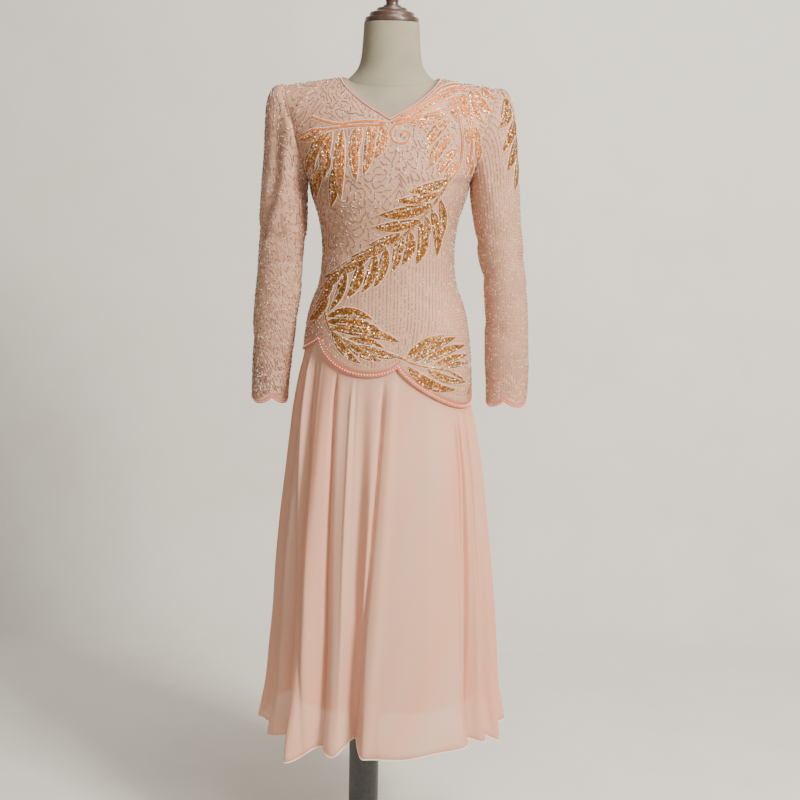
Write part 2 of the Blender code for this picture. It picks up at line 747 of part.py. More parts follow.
def fold_growth(degrees, z):
    top = hem_height(degrees)
    share = min(max((top - z) / (top - SKIRT_HEM_Z), 0.0), FOLD_REACH)
    return share ** FOLD_POWER


def skirt_grid():
    rows = []
    for share in SKIRT_ROW_SHARES:
        ring = []
        for degrees, push, lift in fold_columns():
            low = SKIRT_HEM_Z + lift
            z = low + (SKIRT_TOP_Z - low) * share
            point, outward = skirt_frame(degrees, z)
            ring.append(point + outward * push * fold_growth(degrees, z))
        rows.append(ring)
    return np.array(rows)


def outward_normals(grid):
    normals = ring_normals(grid)
    centre = grid.mean(axis=1, keepdims=True)
    if ((grid - centre) * normals).sum() < 0:
        normals = -normals
    return normals


def add_skirt():
    grid = skirt_grid()
    normals = outward_normals(grid)
    normals[-1, :, 2] = 0.0
    normals[-1] = np.array([unit(v) for v in normals[-1]])
    wall("skirt_chiffon", grid, grid - normals * SKIRT_WALL, "chiffon", closed=True)


def add_lining():
    rows = []
    for z in LINING_ROWS:
        depth = (LINING_TOP_Z - z) / (LINING_TOP_Z - LINING_HEM_Z)
        inset = LINING_TOP_INSET + (LINING_HEM_INSET - LINING_TOP_INSET) * depth ** LINING_POWER
        inset += LINING_SLACK * ease((LINING_TOP_Z - z) / LINING_SLACK_DROP)
        ring = []
        for i in range(LINING_COLUMNS):
            point, outward = skirt_frame(360.0 * i / LINING_COLUMNS, z)
            ring.append(point - outward * inset)
        rows.append(ring)
    grid = np.array(rows)
    inner = grid - outward_normals(grid) * SKIRT_WALL
    wall("skirt_lining", grid, inner, "lining_satin", closed=True)


# Fastening
def add_zip(back, back_normals):
    middle = OUTER_COLUMNS + INNER_COLUMNS
    line = back[ZIP_FIRST_ROW:, middle]
    outward = back_normals[ZIP_FIRST_ROW:, middle] * (0, 1, 1)
    outward = np.array([unit(v) for v in outward])
    side = np.array((ZIP_HALF_WIDTH, 0.0, 0.0))
    outer = np.stack([line - side, line, line + side], axis=1) + (outward * ZIP_PROUD)[:, None]
    inner = np.stack([line - side, line, line + side], axis=1) - (outward * BODICE_WALL)[:, None]
    wall("zip_chain", outer, inner, "zip_tape")


def slider_frame():
    """Centre of the slider's foot on the zip, the way out from it and the way up along it."""
    z = BACK_NECK_Z - SLIDER_ROW_DROP
    here = body_point(0.0, z, True)
    outward = unit(body_normal(0.0, z, True, BACK_NECK_Z) * (0, 1, 1))
    up = unit(np.cross(outward, (1.0, 0.0, 0.0)))
    if up[2] < 0:
        up = -up
    return here + outward * (ZIP_PROUD + SEAM_GAP + SLIDER_BED), outward, up


def block(bm, centre, size, outward, up):
    corners = []
    for sx in (-0.5, 0.5):
        for sy in (-0.5, 0.5):
            for sz in (-0.5, 0.5):
                offset = np.array((sx * size[0], 0, 0)) + outward * sy * size[1] + up * sz * size[2]
                corners.append(bm.verts.new(centre + offset))
    bmesh.ops.convex_hull(bm, input=corners)


def add_slider():
    foot, outward, up = slider_frame()
    bm = bmesh.new()
    centre = foot + outward * SLIDER_SIZE[1] / 2
    block(bm, centre, SLIDER_SIZE, outward, up)
    finish_mesh("zip_slider", bm, "zip_metal", smooth=False)
    slider = bpy.data.objects["zip_slider"]
    for sign in (-1, 1):
        cheek = bmesh.new()
        gap = PULL_BARREL_LENGTH / 2 + SEAM_GAP + CHEEK_SIZE[0] / 2
        middle = centre + outward * (SLIDER_SIZE[1] / 2 + CHEEK_SIZE[1] / 2 - CHEEK_SINK)
        block(cheek, middle + np.array((sign * gap, 0, 0)), CHEEK_SIZE, outward, up)
        post = finish_mesh("cheek", cheek, "zip_metal", smooth=False)
        join_boolean(slider, post)


def join_boolean(body, extra):
    extra.hide_render = True
    extra.display_type = "WIRE"
    modifier = body.modifiers.new("join", "BOOLEAN")
    modifier.operation = "UNION"
    modifier.solver = "EXACT"
    modifier.object = extra
    bpy.context.view_layer.objects.active = body
    body.select_set(True)
    bpy.ops.object.modifier_apply(modifier="join")
    bpy.data.objects.remove(extra, do_unlink=True)


def add_pull():
    """Tab that hangs from the slider. Its origin is on the axis it swings about."""
    foot, outward, up = slider_frame()
    axis = foot + outward * (SLIDER_SIZE[1] + SEAM_GAP + PULL_BARREL_RADIUS)
    bm = bmesh.new()
    bmesh.ops.create_cone(bm, cap_ends=True, segments=PULL_BARREL_SIDES, radius1=PULL_BARREL_RADIUS,
                          radius2=PULL_BARREL_RADIUS, depth=PULL_BARREL_LENGTH)
    for vert in bm.verts:
        vert.co = Vector((vert.co.z, vert.co.x, vert.co.y))
    obj = finish_mesh("zip_pull", bm, "zip_metal")
    tab = bmesh.new()
    origin = np.zeros(3)
    reach = (PULL_LENGTH - PULL_NECK) / 2
    neck_size = (PULL_BARREL_LENGTH - SEAM_GAP, PULL_THICK, PULL_NECK)
    block(tab, origin - up * PULL_NECK / 2, neck_size, outward, up)
    neck = finish_mesh("pull_neck", tab, "zip_metal", smooth=False)
    join_boolean(obj, neck)
    tab = bmesh.new()
    centre = origin - up * (PULL_NECK + reach - PULL_THICK)
    block(tab, centre, (PULL_WIDTH, PULL_THICK, 2 * reach), outward, up)
    blade = finish_mesh("pull_blade", tab, "zip_metal", smooth=False)
    join_boolean(obj, blade)
    obj.location = Vector(axis)


# Form and stand
def form_rows(grid, normals, back):
    """Rows of the form under the bodice, bottom to shoulder line."""
    rows = []
    for z in FORM_LOW_ROWS:
        inset = FORM_LOW_INSET + FORM_TAPER * (FORM_LOW_TO_Z - z)
        ring = []
        for w in columns():
            level = max(z, BODY[0][0])
            point = body_point(w, level, back)
            normal = body_normal(w, level, back, SHOULDER_END_Z)
            if abs(w) == 1:
                normal = side_normal(level, w)
            moved = point - unit(normal * (1, 1, 0)) * inset
            moved[2] = z
            ring.append(moved)
        rows.append(ring)
    first = 1 + HEM_ROWS
    for r in range(first, len(grid)):
        level = grid[r, 0, 2]
        share = ease((level - FORM_LOW_TO_Z) / (FORM_FULL_FROM_Z - FORM_LOW_TO_Z))
        inset = FORM_LOW_INSET + (FORM_INSET - FORM_LOW_INSET) * share
        rows.append(grid[r] - normals[r] * inset)
    rows = [np.array(row) for row in rows]
    for row in rows[:-CHEST_ROWS]:
        row[0, 1] = row[-1, 1] = 0.0
    rows[-1][:OUTER_COLUMNS + 1, 1] = 0.0
    rows[-1][-OUTER_COLUMNS - 1:, 1] = 0.0
    return rows


def neck_ring(values, count_front, count_back):
    z, wide, front, back, tilt = values
    ring = []
    for i in range(count_front):
        a = -math.pi / 2 + math.pi * i / (count_front - 1)
        ring.append((wide * math.sin(a), front * math.cos(a), z + tilt * math.cos(a)))
    for i in range(1, count_back - 1):
        a = math.pi / 2 + math.pi * i / (count_back - 1)
        ring.append((wide * math.sin(a), -back * math.cos(a), z))
    return np.array(ring)


def add_form(front, front_normals, back, back_normals):
    front_rows = form_rows(front, front_normals, False)
    back_rows = form_rows(back, back_normals, True)
    bm = bmesh.new()

    def verts_of(row):
        return [bm.verts.new(p) for p in row]

    front_verts = [verts_of(row) for row in front_rows]
    back_verts = [verts_of(row) for row in back_rows]
    for verts, flip in ((front_verts, False), (back_verts, True)):
        for low, high in zip(verts, verts[1:]):
            for c in range(len(low) - 1):
                face_pair(bm, low[c], low[c + 1], high[c + 1], high[c], flip)
    low, high = OUTER_COLUMNS, OUTER_COLUMNS + 2 * INNER_COLUMNS
    loop = front_verts[-1][low:high + 1] + back_verts[-1][low + 1:high][::-1]
    base = np.array([v.co for v in loop])
    count = 2 * INNER_COLUMNS + 1
    first = neck_ring(NECK_RINGS[0], count, count)
    half = (base + first) / 2
    previous = loop
    rings = [verts_of(half), verts_of(first)]
    rings += [verts_of(neck_ring(v, count, count)) for v in NECK_RINGS[1:]]
    for ring in rings:
        for i in range(len(loop)):
            j = (i + 1) % len(loop)
            bm.faces.new((previous[i], previous[j], ring[j], ring[i]))
        previous = ring
    bm.faces.new(previous)
    bottom = front_verts[0] + back_verts[0][::-1]
    bm.faces.new(list(reversed(bottom)))
    for side in (0, -1):
        armhole = [row[side] for row in front_verts[-CHEST_ROWS - 1:]]
        armhole += [row[side] for row in back_verts[-CHEST_ROWS - 1:]][::-1]
        bm.faces.new(armhole)
    return finish_mesh("form_torso", bm, "form_linen")


def disc(name, radius, low, thick, slot, x=COLUMN_X, bevel=0.0):
    bpy.ops.mesh.primitive_cylinder_add(vertices=DISC_SIDES, radius=radius, depth=thick,
                                        location=(x, 0, low + thick / 2))
    obj = bpy.context.object
    obj.name = name
    obj.data.name = name
    obj.data.materials.append(material(slot))
    if bevel:
        edge = obj.modifiers.new("edge", "BEVEL")
        edge.width = bevel
        edge.segments = FOOT_BEVEL_STEPS
    return obj


def add_stand():
    lathe("neck_cap", CAP_PROFILE, "turned_wood", (0.0, NECK_AXIS_Y))
    lathe("neck_finial", FINIAL_PROFILE, "turned_wood", (0.0, NECK_AXIS_Y))
    plate_low = FORM_BOTTOM_Z - SEAM_GAP - PLATE_THICK
    disc("form_base_plate", PLATE_RADIUS, plate_low, PLATE_THICK, "black_steel")
    column_low = FOOT_THICK + SEAM_GAP
    disc("stand_column", COLUMN_RADIUS, column_low, plate_low - SEAM_GAP - column_low, "black_steel")
    disc("stand_foot", FOOT_RADIUS, 0.0, FOOT_THICK, "black_steel", bevel=FOOT_BEVEL)


def main():
    clear_scene()
    front, front_normals = body_grid(False)
    back, back_normals = body_grid(True)
    add_bodice(front, front_normals, back, back_normals)
    add_hem_braid(front, front_normals, back, back_normals)
    add_neck_cord(front, front_normals, back, back_normals)
    add_sleeve("left", SLEEVE_LEFT, -1)
    add_sleeve("right", SLEEVE_RIGHT, 1)
    add_skirt()
    add_lining()
    add_zip(back, back_normals)
    add_slider()
    add_pull()
    add_form(front, front_normals, back, back_normals)
    add_stand()


main()
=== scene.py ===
"""Looks of the evening dress: cloth shells, beading, edges, form and stand, light and camera."""

import math

import bmesh
import bpy
import numpy as np
from mathutils import Matrix, Vector
from mathutils.bvhtree import BVHTree
from mathutils.kdtree import KDTree


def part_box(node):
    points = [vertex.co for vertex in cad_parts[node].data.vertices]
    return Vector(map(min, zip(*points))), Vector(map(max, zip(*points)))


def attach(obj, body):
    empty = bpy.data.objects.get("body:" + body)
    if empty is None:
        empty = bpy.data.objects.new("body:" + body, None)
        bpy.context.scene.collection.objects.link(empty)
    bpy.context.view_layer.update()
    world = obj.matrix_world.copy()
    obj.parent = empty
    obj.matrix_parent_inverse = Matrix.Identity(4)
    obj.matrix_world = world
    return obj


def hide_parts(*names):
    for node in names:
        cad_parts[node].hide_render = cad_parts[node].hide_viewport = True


MM = 0.001
BODY = "dress_and_form"

# Heights and widths of the figure, as in the frame
ARMPIT_Z = 1.335
SHOULDER_NECK_Z = 1.520
SHOULDER_NECK_X = 0.0936
SHOULDER_END_Z = 1.505
SHOULDER_END_X = 0.1955
BACK_NECK_Z = 1.505
FRONT_RISE_Z = 1.560
BACK_RISE_Z = 1.600
HIP_SEAM_Z = 1.106
ARMHOLE_FRONT = 0.056
ARMHOLE_BACK = 0.060
ARMHOLE_TURN = math.radians(38)
ARMHOLE_BLEND = 0.060
BOX_SHARE = 0.04
RISE_POWER = 0.5
RISE_POWER_INNER = 0.33
SEAM_GAP = 0.3 * MM
HALF_SEAM = SEAM_GAP / 2
BACK_EDGE = 2.5 * MM
CLOTH_THICK = 0.5 * MM

# Steps of the numeric work
TINY = 1e-9
HALVINGS = 60
STEP_W = 0.004
STEP_Z = 0.6 * MM

# Body of the bodice: height, half width, depth in front of and behind the side seam
BODY_TABLE = (
    (0.900, 0.1665, 0.1215, 0.1400),
    (0.935, 0.1638, 0.1175, 0.1360),
    (0.985, 0.1608, 0.1125, 0.1310),
    (1.022, 0.1582, 0.1090, 0.1275),
    (1.056, 0.1540, 0.1060, 0.1225),
    (1.080, 0.1500, 0.1030, 0.1175),
    (1.106, 0.1432, 0.0990, 0.1095),
    (1.138, 0.1308, 0.095, 0.099),
    (1.157, 0.1264, 0.094, 0.093),
    (1.185, 0.1236, 0.094, 0.088),
    (1.205, 0.1230, 0.096, 0.087),
    (1.237, 0.1252, 0.103, 0.090),
    (1.272, 0.1320, 0.113, 0.098),
    (1.303, 0.1424, 0.120, 0.104),
    (1.335, 0.1500, 0.121, 0.107),
)

# Neck opening in front: distance from the middle, height
NECK_FRONT = (
    (0.0000, 1.4425), (0.0187, 1.4540), (0.0370, 1.4645), (0.0546, 1.4768),
    (0.0712, 1.4912), (0.0850, 1.5060), (0.0936, 1.5200),
)

# Scallops of the bodice hem: angle of the notch from the front in degrees, its height, drop after it
HEM_NOTCHES = (
    (-138.0, 1.025, 0.022),
    (-48.0, 1.047, 0.039),
    (6.6, 1.003, 0.052),
    (88.0, 0.949, 0.040),
    (155.0, 0.965, 0.034),
    (222.0, 1.025, 0.022),
)
SCALLOP_ROUND = 0.6
BRAID_WIDTH = 8.0 * MM

# Skirt outline: height, half width on the left and the right, depth in front and behind
SKIRT = (
    (0.262, 0.2440, 0.2400, 0.212, 0.220),
    (0.304, 0.2380, 0.2375, 0.208, 0.216),
    (0.362, 0.2273, 0.2260, 0.199, 0.209),
    (0.437, 0.2202, 0.2205, 0.190, 0.200),
    (0.510, 0.2134, 0.2150, 0.181, 0.191),
    (0.600, 0.2083, 0.2065, 0.168, 0.179),
    (0.695, 0.1999, 0.1955, 0.155, 0.167),
    (0.795, 0.1880, 0.1835, 0.141, 0.154),
    (0.860, 0.1804, 0.1722, 0.1270, 0.1440),
    (0.910, 0.1740, 0.1630, 0.1160, 0.1345),
    (0.935, 0.1698, 0.1600, 0.1125, 0.1310),
    (0.966, 0.1640, 0.1572, 0.1092, 0.1275),
    (1.010, 0.1566, 0.1545, 0.1052, 0.1238),
    (1.035, 0.1530, 0.1530, 0.1034, 0.1215),
)
SKIRT_TOP_Z = HIP_SEAM_Z
SKIRT_HEM_Z = 0.285
SKIRT_INSET = 2.2 * MM
SKIRT_SLACK = 1.6 * MM
SKIRT_JOIN = 0.020

# Folds of the skirt: angle from the front in degrees, push out or in at the hem in mm, hem lift in mm
FOLDS = (
    (-86, -4, 6), (-78, 4, 14), (-68, -20, 10), (-58, 2, 2), (-48, -22, 8), (-37, 14, -20),
    (-27, -24, 4), (-19, -6, -4), (-12, -38, 22), (-6, 2, 2), (8, 3, 0), (24, 2, 8), (36, 2, 8),
    (44, -22, 12), (52, -2, 4), (59, -20, 4), (67, 2, -12), (76, -16, 2), (86, 3, 6),
    (96, -18, 8), (107, 2, -4), (118, -22, 8), (129, 4, -6), (141, -24, 8), (153, 3, -6),
    (165, -22, 6), (177, 5, -8), (190, -22, 8), (202, 3, -4), (214, -24, 8), (226, 4, -6),
    (239, -22, 6), (251, 3, -4), (263, -18, 8),
)
FOLD_POWER = 0.85

# Left and right sleeve: height and distance from the middle on the outer and inner edge, half depths
SLEEVE_LEFT = (
    (1.5050, 0.1955, 1.3350, 0.1500, 0.056, 0.060),
    (1.5046, 0.2085, 1.3290, 0.1512, 0.057, 0.061),
    (1.4950, 0.2190, 1.3230, 0.1519, 0.056, 0.060),
    (1.4720, 0.2272, 1.3130, 0.1522, 0.055, 0.058),
    (1.4340, 0.2306, 1.2980, 0.1521, 0.053, 0.056),
    (1.3800, 0.2330, 1.2740, 0.1519, 0.051, 0.054),
    (1.3200, 0.2375, 1.2400, 0.1530, 0.048, 0.051),
    (1.2600, 0.2406, 1.1990, 0.1582, 0.045, 0.048),
    (1.2000, 0.2430, 1.1520, 0.1608, 0.042, 0.045),
    (1.1350, 0.2480, 1.1030, 0.1665, 0.039, 0.041),
    (1.0720, 0.2525, 1.0480, 0.1740, 0.035, 0.037),
    (1.0080, 0.2538, 0.9930, 0.1810, 0.032, 0.033),
    (0.9700, 0.2548, 0.9650, 0.1843, 0.030, 0.031),
    (0.9370, 0.2556, 0.9370, 0.1872, 0.029, 0.030),
)
SLEEVE_RIGHT = (
    (1.5050, 0.1955, 1.3350, 0.1500, 0.056, 0.060),
    (1.5030, 0.2080, 1.3280, 0.1508, 0.057, 0.061),
    (1.4910, 0.2180, 1.3200, 0.1509, 0.056, 0.060),
    (1.4640, 0.2282, 1.3080, 0.1512, 0.055, 0.058),
    (1.4300, 0.2341, 1.2920, 0.1532, 0.053, 0.056),
    (1.3800, 0.2374, 1.2680, 0.1575, 0.051, 0.054),
    (1.3200, 0.2420, 1.2350, 0.1626, 0.048, 0.051),
    (1.2600, 0.2464, 1.1980, 0.1686, 0.045, 0.048),
    (1.2000, 0.2550, 1.1600, 0.1778, 0.042, 0.045),
    (1.1350, 0.2618, 1.1100, 0.1832, 0.039, 0.041),
    (1.0720, 0.2658, 1.0500, 0.1850, 0.035, 0.037),
    (1.0080, 0.2692, 0.9950, 0.1870, 0.032, 0.033),
    (0.9700, 0.2694, 0.9650, 0.1895, 0.030, 0.031),
    (0.9370, 0.2680, 0.9370, 0.1912, 0.029, 0.030),
)
CUFF_SCALLOPS = 4
CUFF_DROP = 0.016
CUFF_TURN = math.radians(20)
CUFF_BRAID_WIDTH = 6.0 * MM

# Lining
LINING_TOP_Z = 1.104
LINING_HEM_Z = 0.350
LINING_TOP_INSET = 2.3 * MM
LINING_HEM_INSET = 0.046
LINING_POWER = 1.6
LINING_SLACK = 2.2 * MM
LINING_SLACK_DROP = 0.018

# Camera, as fitted to the photo
CAMERA_X = 0.0268
CAMERA_Y = -2.6
CAMERA_Z = 1.38
CAMERA_PITCH = math.radians(10.0)
CAMERA_ROLL = math.radians(1.0)
LENS = 62.2
SENSOR = 36.0

# Form and stand
FORM_INSET = 2.2 * MM
FORM_FROM_Z = 1.20
FORM_COLUMNS = 16
FORM_ROWS = (8, 30, 30)
# Rings of the neck: height, half width, depth in front and behind, rise at the front
NECK_RINGS = (
    (1.5190, 0.0775, -0.0570, 0.0545, -0.018),
    (1.5300, 0.0664, -0.0520, 0.0535, -0.012),
    (1.5421, 0.0590, -0.0475, 0.0530, -0.008),
    (1.5583, 0.0550, -0.0450, 0.0530, -0.004),
    (1.5776, 0.0530, -0.0440, 0.0530, 0.000),
    (1.5999, 0.0515, -0.0440, 0.0530, 0.000),
    (1.6195, 0.0505, -0.0435, 0.0530, 0.000),
)
NECK_STEPS = 6
NECK_AXIS_Y = 0.0048
# Turned pieces: radius, height
CAP_PROFILE = (
    (0.0485, 1.6200), (0.0493, 1.6208), (0.0496, 1.6240), (0.0490, 1.6270), (0.0478, 1.6287),
    (0.0418, 1.6300), (0.0412, 1.6312), (0.0410, 1.6350), (0.0404, 1.6366), (0.0380, 1.6382),
    (0.0300, 1.6400), (0.0282, 1.6412), (0.0274, 1.6440), (0.0262, 1.6456), (0.0175, 1.6466),
    (0.0165, 1.6480), (0.0160, 1.6500),
)
FINIAL_PROFILE = (
    (0.0118, 1.6503), (0.0120, 1.6510), (0.0112, 1.6540), (0.0114, 1.6570), (0.0130, 1.6612),
    (0.0160, 1.6652), (0.0186, 1.6692), (0.0197, 1.6730), (0.0200, 1.6770), (0.0194, 1.6815),
    (0.0178, 1.6855), (0.0150, 1.6890), (0.0110, 1.6918), (0.0066, 1.6936), (0.0020, 1.6944),
)
TURNED_SIDES = 64
NECK_BLEND = 5
WELD = 0.05 * MM
FORM_SHARP = math.radians(50)
TURNED_SHARP = math.radians(38)
PLAIN_SHARP = math.radians(30)
SEAM_STEP = 3 * MM
SEAM_SIZE = (0.5 * MM, 0.35 * MM)
SEAM_SIDES = 5

# Fineness of the shells
PANEL_COLUMNS = 32
PANEL_ROWS = (16, 52, 44)
SLEEVE_COLUMNS = 64
SLEEVE_STEPS = 10
SLEEVE_RADIUS = 0.037
FOLD_STEPS = 14
SKIRT_STEPS = 60
LINING_COLUMNS = 96
LINING_STEPS = 40
FADE_STEPS = 5

# Creases of the front and the back: distance from the middle, distance above the hem, length, width,
# angle in degrees, depth in mm. Ridges have a depth below zero.
TROUGH_BOW = 0.35
FRONT_CREASES = (
    (-0.095, 0.150, 0.12, 0.008, 8, 1.2), (0.088, 0.165, 0.13, 0.009, -6, 1.3),
    (-0.020, 0.130, 0.16, 0.010, 3, 0.9), (0.120, 0.320, 0.10, 0.008, -58, 1.3),
    (-0.125, 0.315, 0.11, 0.008, 57, 1.3), (0.030, 0.200, 0.10, 0.008, 12, 0.7),
    (-0.060, 0.195, 0.09, 0.007, -10, 0.8), (-0.080, 0.380, 0.12, 0.009, 64, 1.0),
    (0.070, 0.400, 0.11, 0.009, -66, 0.9), (0.140, 0.190, 0.08, 0.007, 20, 1.0),
)
BACK_CREASES = (
    (-0.090, 0.140, 0.12, 0.008, -7, 1.2), (0.085, 0.150, 0.12, 0.009, 9, 1.2),
    (-0.060, 0.190, 0.10, 0.008, 10, 1.0), (0.065, 0.200, 0.10, 0.008, -12, 1.0),
    (-0.115, 0.330, 0.12, 0.009, 60, 1.3), (0.120, 0.325, 0.11, 0.009, -60, 1.3),
    (-0.060, 0.420, 0.13, 0.010, 78, 0.9), (0.055, 0.430, 0.12, 0.010, -80, 0.9),
)
BODICE_RIPPLE = 0.060
BODICE_UNEVEN = 0.5 * MM
RIPPLE_WAVES = 9
RIPPLE_SPREAD = (0.7, 1.6)
FRONT_SEED = 3
BACK_SEED = 4

# Creases of the sleeves: turn from the outer edge in degrees, height, then as above
LEFT_CREASES = (
    (268, 1.400, 0.34, 0.008, 88, -5.5), (288, 1.390, 0.32, 0.0095, 88, 5.0),
    (312, 1.370, 0.22, 0.010, 92, -2.5), (250, 1.225, 0.11, 0.011, 28, 2.6),
    (285, 1.180, 0.12, 0.012, -22, 2.8), (235, 1.110, 0.11, 0.011, 34, 2.2),
    (300, 1.060, 0.13, 0.012, -30, 2.2), (262, 1.010, 0.12, 0.011, 24, 1.6),
    (335, 1.240, 0.10, 0.010, 18, 2.2), (90, 1.360, 0.22, 0.011, 86, 2.6),
    (70, 1.210, 0.12, 0.012, -25, 2.6), (115, 1.160, 0.12, 0.012, 28, 2.4),
    (60, 1.060, 0.13, 0.012, 20, 2.0), (180, 1.220, 0.10, 0.010, 12, 2.4),
    (185, 1.150, 0.10, 0.010, -16, 2.2),
)
RIGHT_CREASES = (
    (262, 1.370, 0.26, 0.0105, 93, 3.0), (246, 1.380, 0.24, 0.010, 92, -2.4),
    (300, 1.330, 0.20, 0.010, 84, 2.0), (285, 1.230, 0.12, 0.012, -26, 2.8),
    (250, 1.185, 0.12, 0.011, 24, 2.4), (300, 1.120, 0.12, 0.012, 30, 2.2),
    (240, 1.060, 0.13, 0.012, -24, 2.2), (275, 1.000, 0.11, 0.011, 20, 1.6),
    (330, 1.200, 0.10, 0.010, -18, 2.0), (90, 1.370, 0.22, 0.011, 92, 2.6),
    (110, 1.215, 0.12, 0.012, 24, 2.6), (70, 1.150, 0.12, 0.012, -28, 2.4),
    (100, 1.070, 0.13, 0.012, 18, 2.0), (180, 1.225, 0.10, 0.010, -14, 2.4),
    (175, 1.160, 0.10, 0.010, 15, 2.2),
)

# Small folds of the skirt: angle at the top, angle at the hem and width in degrees, height in mm
FOLD_REACH = 1.1
SMALL_EASE = 0.055
SMALL_FOLDS = (
    (-87, -83, 2.0, 4.0), (-82, -75, 1.4, -6.0), (-74, -67, 1.8, 4.5), (-69, -57, 1.3, -6.5),
    (-61, -38, 2.0, 7.5), (-55, -33, 1.1, -5.0), (-46, -31, 1.2, 1.5), (-31, -26, 1.0, -8.0),
    (-27, -22, 2.4, 3.0), (-19, -17, 1.0, 3.5), (-17, -15, 0.8, -2.0), (1, -11, 1.0, -9.0),
    (6, -6, 2.6, 4.0), (28, 18, 4.5, 1.2), (50, 40, 1.4, 5.0), (53, 43, 1.0, -8.0), (58, 49, 1.6, 5.0),
    (63, 57, 1.2, -7.0), (69, 65, 2.0, 4.0), (76, 74, 1.4, -6.0), (83, 84, 2.0, 4.0), (96, 95, 1.5, -6.0),
    (104, 104, 2.2, 4.0), (115, 117, 1.4, -6.0), (124, 128, 2.2, 4.5), (136, 140, 1.4, -6.5),
    (146, 150, 2.2, 4.0), (157, 160, 1.4, -6.0), (170, 171, 2.2, 4.0), (183, 184, 1.4, -6.0),
    (194, 193, 2.2, 4.5), (206, 204, 1.4, -6.0), (217, 214, 2.2, 4.0), (229, 228, 1.4, -6.5),
    (240, 240, 2.2, 4.0), (252, 251, 1.4, -6.0), (263, 264, 2.0, 4.0),
)
# Zones of the chiffon: angle from the front in degrees, share of the salmon tone. In front the salmon zones
# lie in the fold valleys: partly the deeper tone of doubled chiffon, partly painted shade.
SALMON_AND_SHADE_ZONES = (
    (-180, 0.3), (-165, 0.8), (-140, 0.2), (-120, 0.8), (-100, 0.3), (-86, 0.8), (-72, 0.9), (-64, 0.3),
    (-57, 0.0), (-48, 0.1), (-40, 0.8), (-29, 1.0), (-25, 0.1), (-14, 0.15), (-7, 0.1), (28, 0.05),
    (40, 0.8), (48, 1.0), (58, 0.6), (75, 0.8), (100, 0.3), (120, 0.8), (140, 0.2), (165, 0.8), (180, 0.3),
)
HEM_ROLL = 1.2 * MM
# Strength of the zones' salmon, which is partly the cloth's deeper tone and partly painted shade
SALMON_AND_SHADE_SHARE = 0.62
LINING_WAVE = 3.0 * MM
LINING_WAVES = 7

# Corded edges
BRAID_STEP = 1.3 * MM
CORD_SHARE = 0.22
CORD_TWIST = 0.10
CORD_SIDES = 8
FLAT_SIDES = 6
FEWEST_POINTS = 8
TWIST_LOBES = 2
TWIST_TURN = 0.9
BED_SHARE = 0.5
PEARL_SHARE = 0.98
PEARL_GAP = 1.75
PEARL_OUT = 0.7
HEM_POINTS = 161
NECK_POINTS = 121
NECK_CORD = 1.7 * MM
NECK_CORD_LIFT = 1.0 * MM
NECK_PEARL = 0.9 * MM
NECK_PEARL_OUT = 0.8
NECK_PEARL_GAP = 2.4 * MM

# Zip
ZIP_STEPS = 90
ZIP_COLUMNS = 9
TOOTH_SUNK = 0.4
ZIP_HALF_WIDTH = 2.2 * MM
ZIP_PROUD = 0.4 * MM
TOOTH_GAP = 1.3 * MM
TOOTH_APART = 0.35
TOOTH_SIZE = (0.42 * MM, 1.2 * MM, 0.45 * MM)

# Beads and sequins: half sizes along, across and out from the cloth. Sprays are drawn in mm, so the
# gaps, edges and room without MM are in mm too.
FIELD_WAVES = 60
FIELD_SPREAD = (0.82, 1.18)
BEAD_DENSITY = 2
BEAD_SINK = 0.6
EDGE_ROWS = 3
LINE_PITCH = 0.020
SLEEVE_PITCH = 0.018
LINE_BEAD = (1.50 * MM, 0.95 * MM, 0.95 * MM)
ROW_BEAD = (2.10 * MM, 0.85 * MM, 0.85 * MM)
ROW_PITCH = 6.6 * MM
ROW_GAP = 3.6 * MM
ROW_LEAN = 0.60
LEAN_SPREAD = 0.1
ROWS_TOP_Z = 1.400
LINE_SEEDS = {"front": 21, "back_left": 22, "back_right": 23, "sleeve_left": 24, "sleeve_right": 25}
SEQUIN_SIDES = 6
SEQUIN_GAP = 2.0
SEQUIN_EDGE = 2.2
SEQUIN_LIFT = 1.0 * MM
SEQUIN_TILT = 0.32
SEQUIN_SMALL = 0.8
GOLD_SEQUIN = (1.35 * MM, 1.35 * MM, 0.35 * MM)
OPAL_SEQUIN = (1.55 * MM, 1.55 * MM, 0.45 * MM)
# Sequins: kind, size, paint and seed of their random tilt
SEQUIN_KINDS = (
    ("gold", GOLD_SEQUIN, "gold", 11),
    ("orange", GOLD_SEQUIN, "amber", 12),
    ("opal", OPAL_SEQUIN, "opal", 13),
)
OPAL_GAP = 3.1
OPAL_SIDE = 0.40
OPAL_FROM = 0.12
OPAL_TO = 0.80
EDGE_BEAD = (1.15 * MM, 0.95 * MM, 0.95 * MM)
EDGE_BEAD_GAP = 1.9
SPRAY_CLEARANCE = 2.2 * MM
CORD_THICK = 0.8 * MM
STRAND_HALF = 2.3 * MM
STRAND_EDGE = 3.2 * MM
STRAND_POINTS = 50
STRAND_BEADS = 1.3
RIB_HALF = 1.9 * MM
RIB_SIDE = 0.35
RIB_FROM = 0.04
RIB_TO = 0.72
RIB_POINTS = 14
LEAF_POINTS = 24
OUTLINE_ROOM = 1.6
BED_ROWS = 18
BED_SIDES = (-1.0, -0.6, 0.0, 0.6, 1.0)
BED_DOME = 0.5 * MM
BED_LIFT = 0.6 * MM
LEAF_SWELL = 0.85
LEAF_ROUND = 0.70
FAR_FRONT = -1.0
# Hanging strings: distance from the middle, height and drop in mm
BEAD_STRINGS = ((154, 952, 22), (157, 954, 30), (160, 958, 24))
HANGING_GAP = 2.6
HANGING_OUT = 4.5 * MM
HANGING_BEAD = (1.3 * MM, 1.1 * MM, 1.1 * MM)

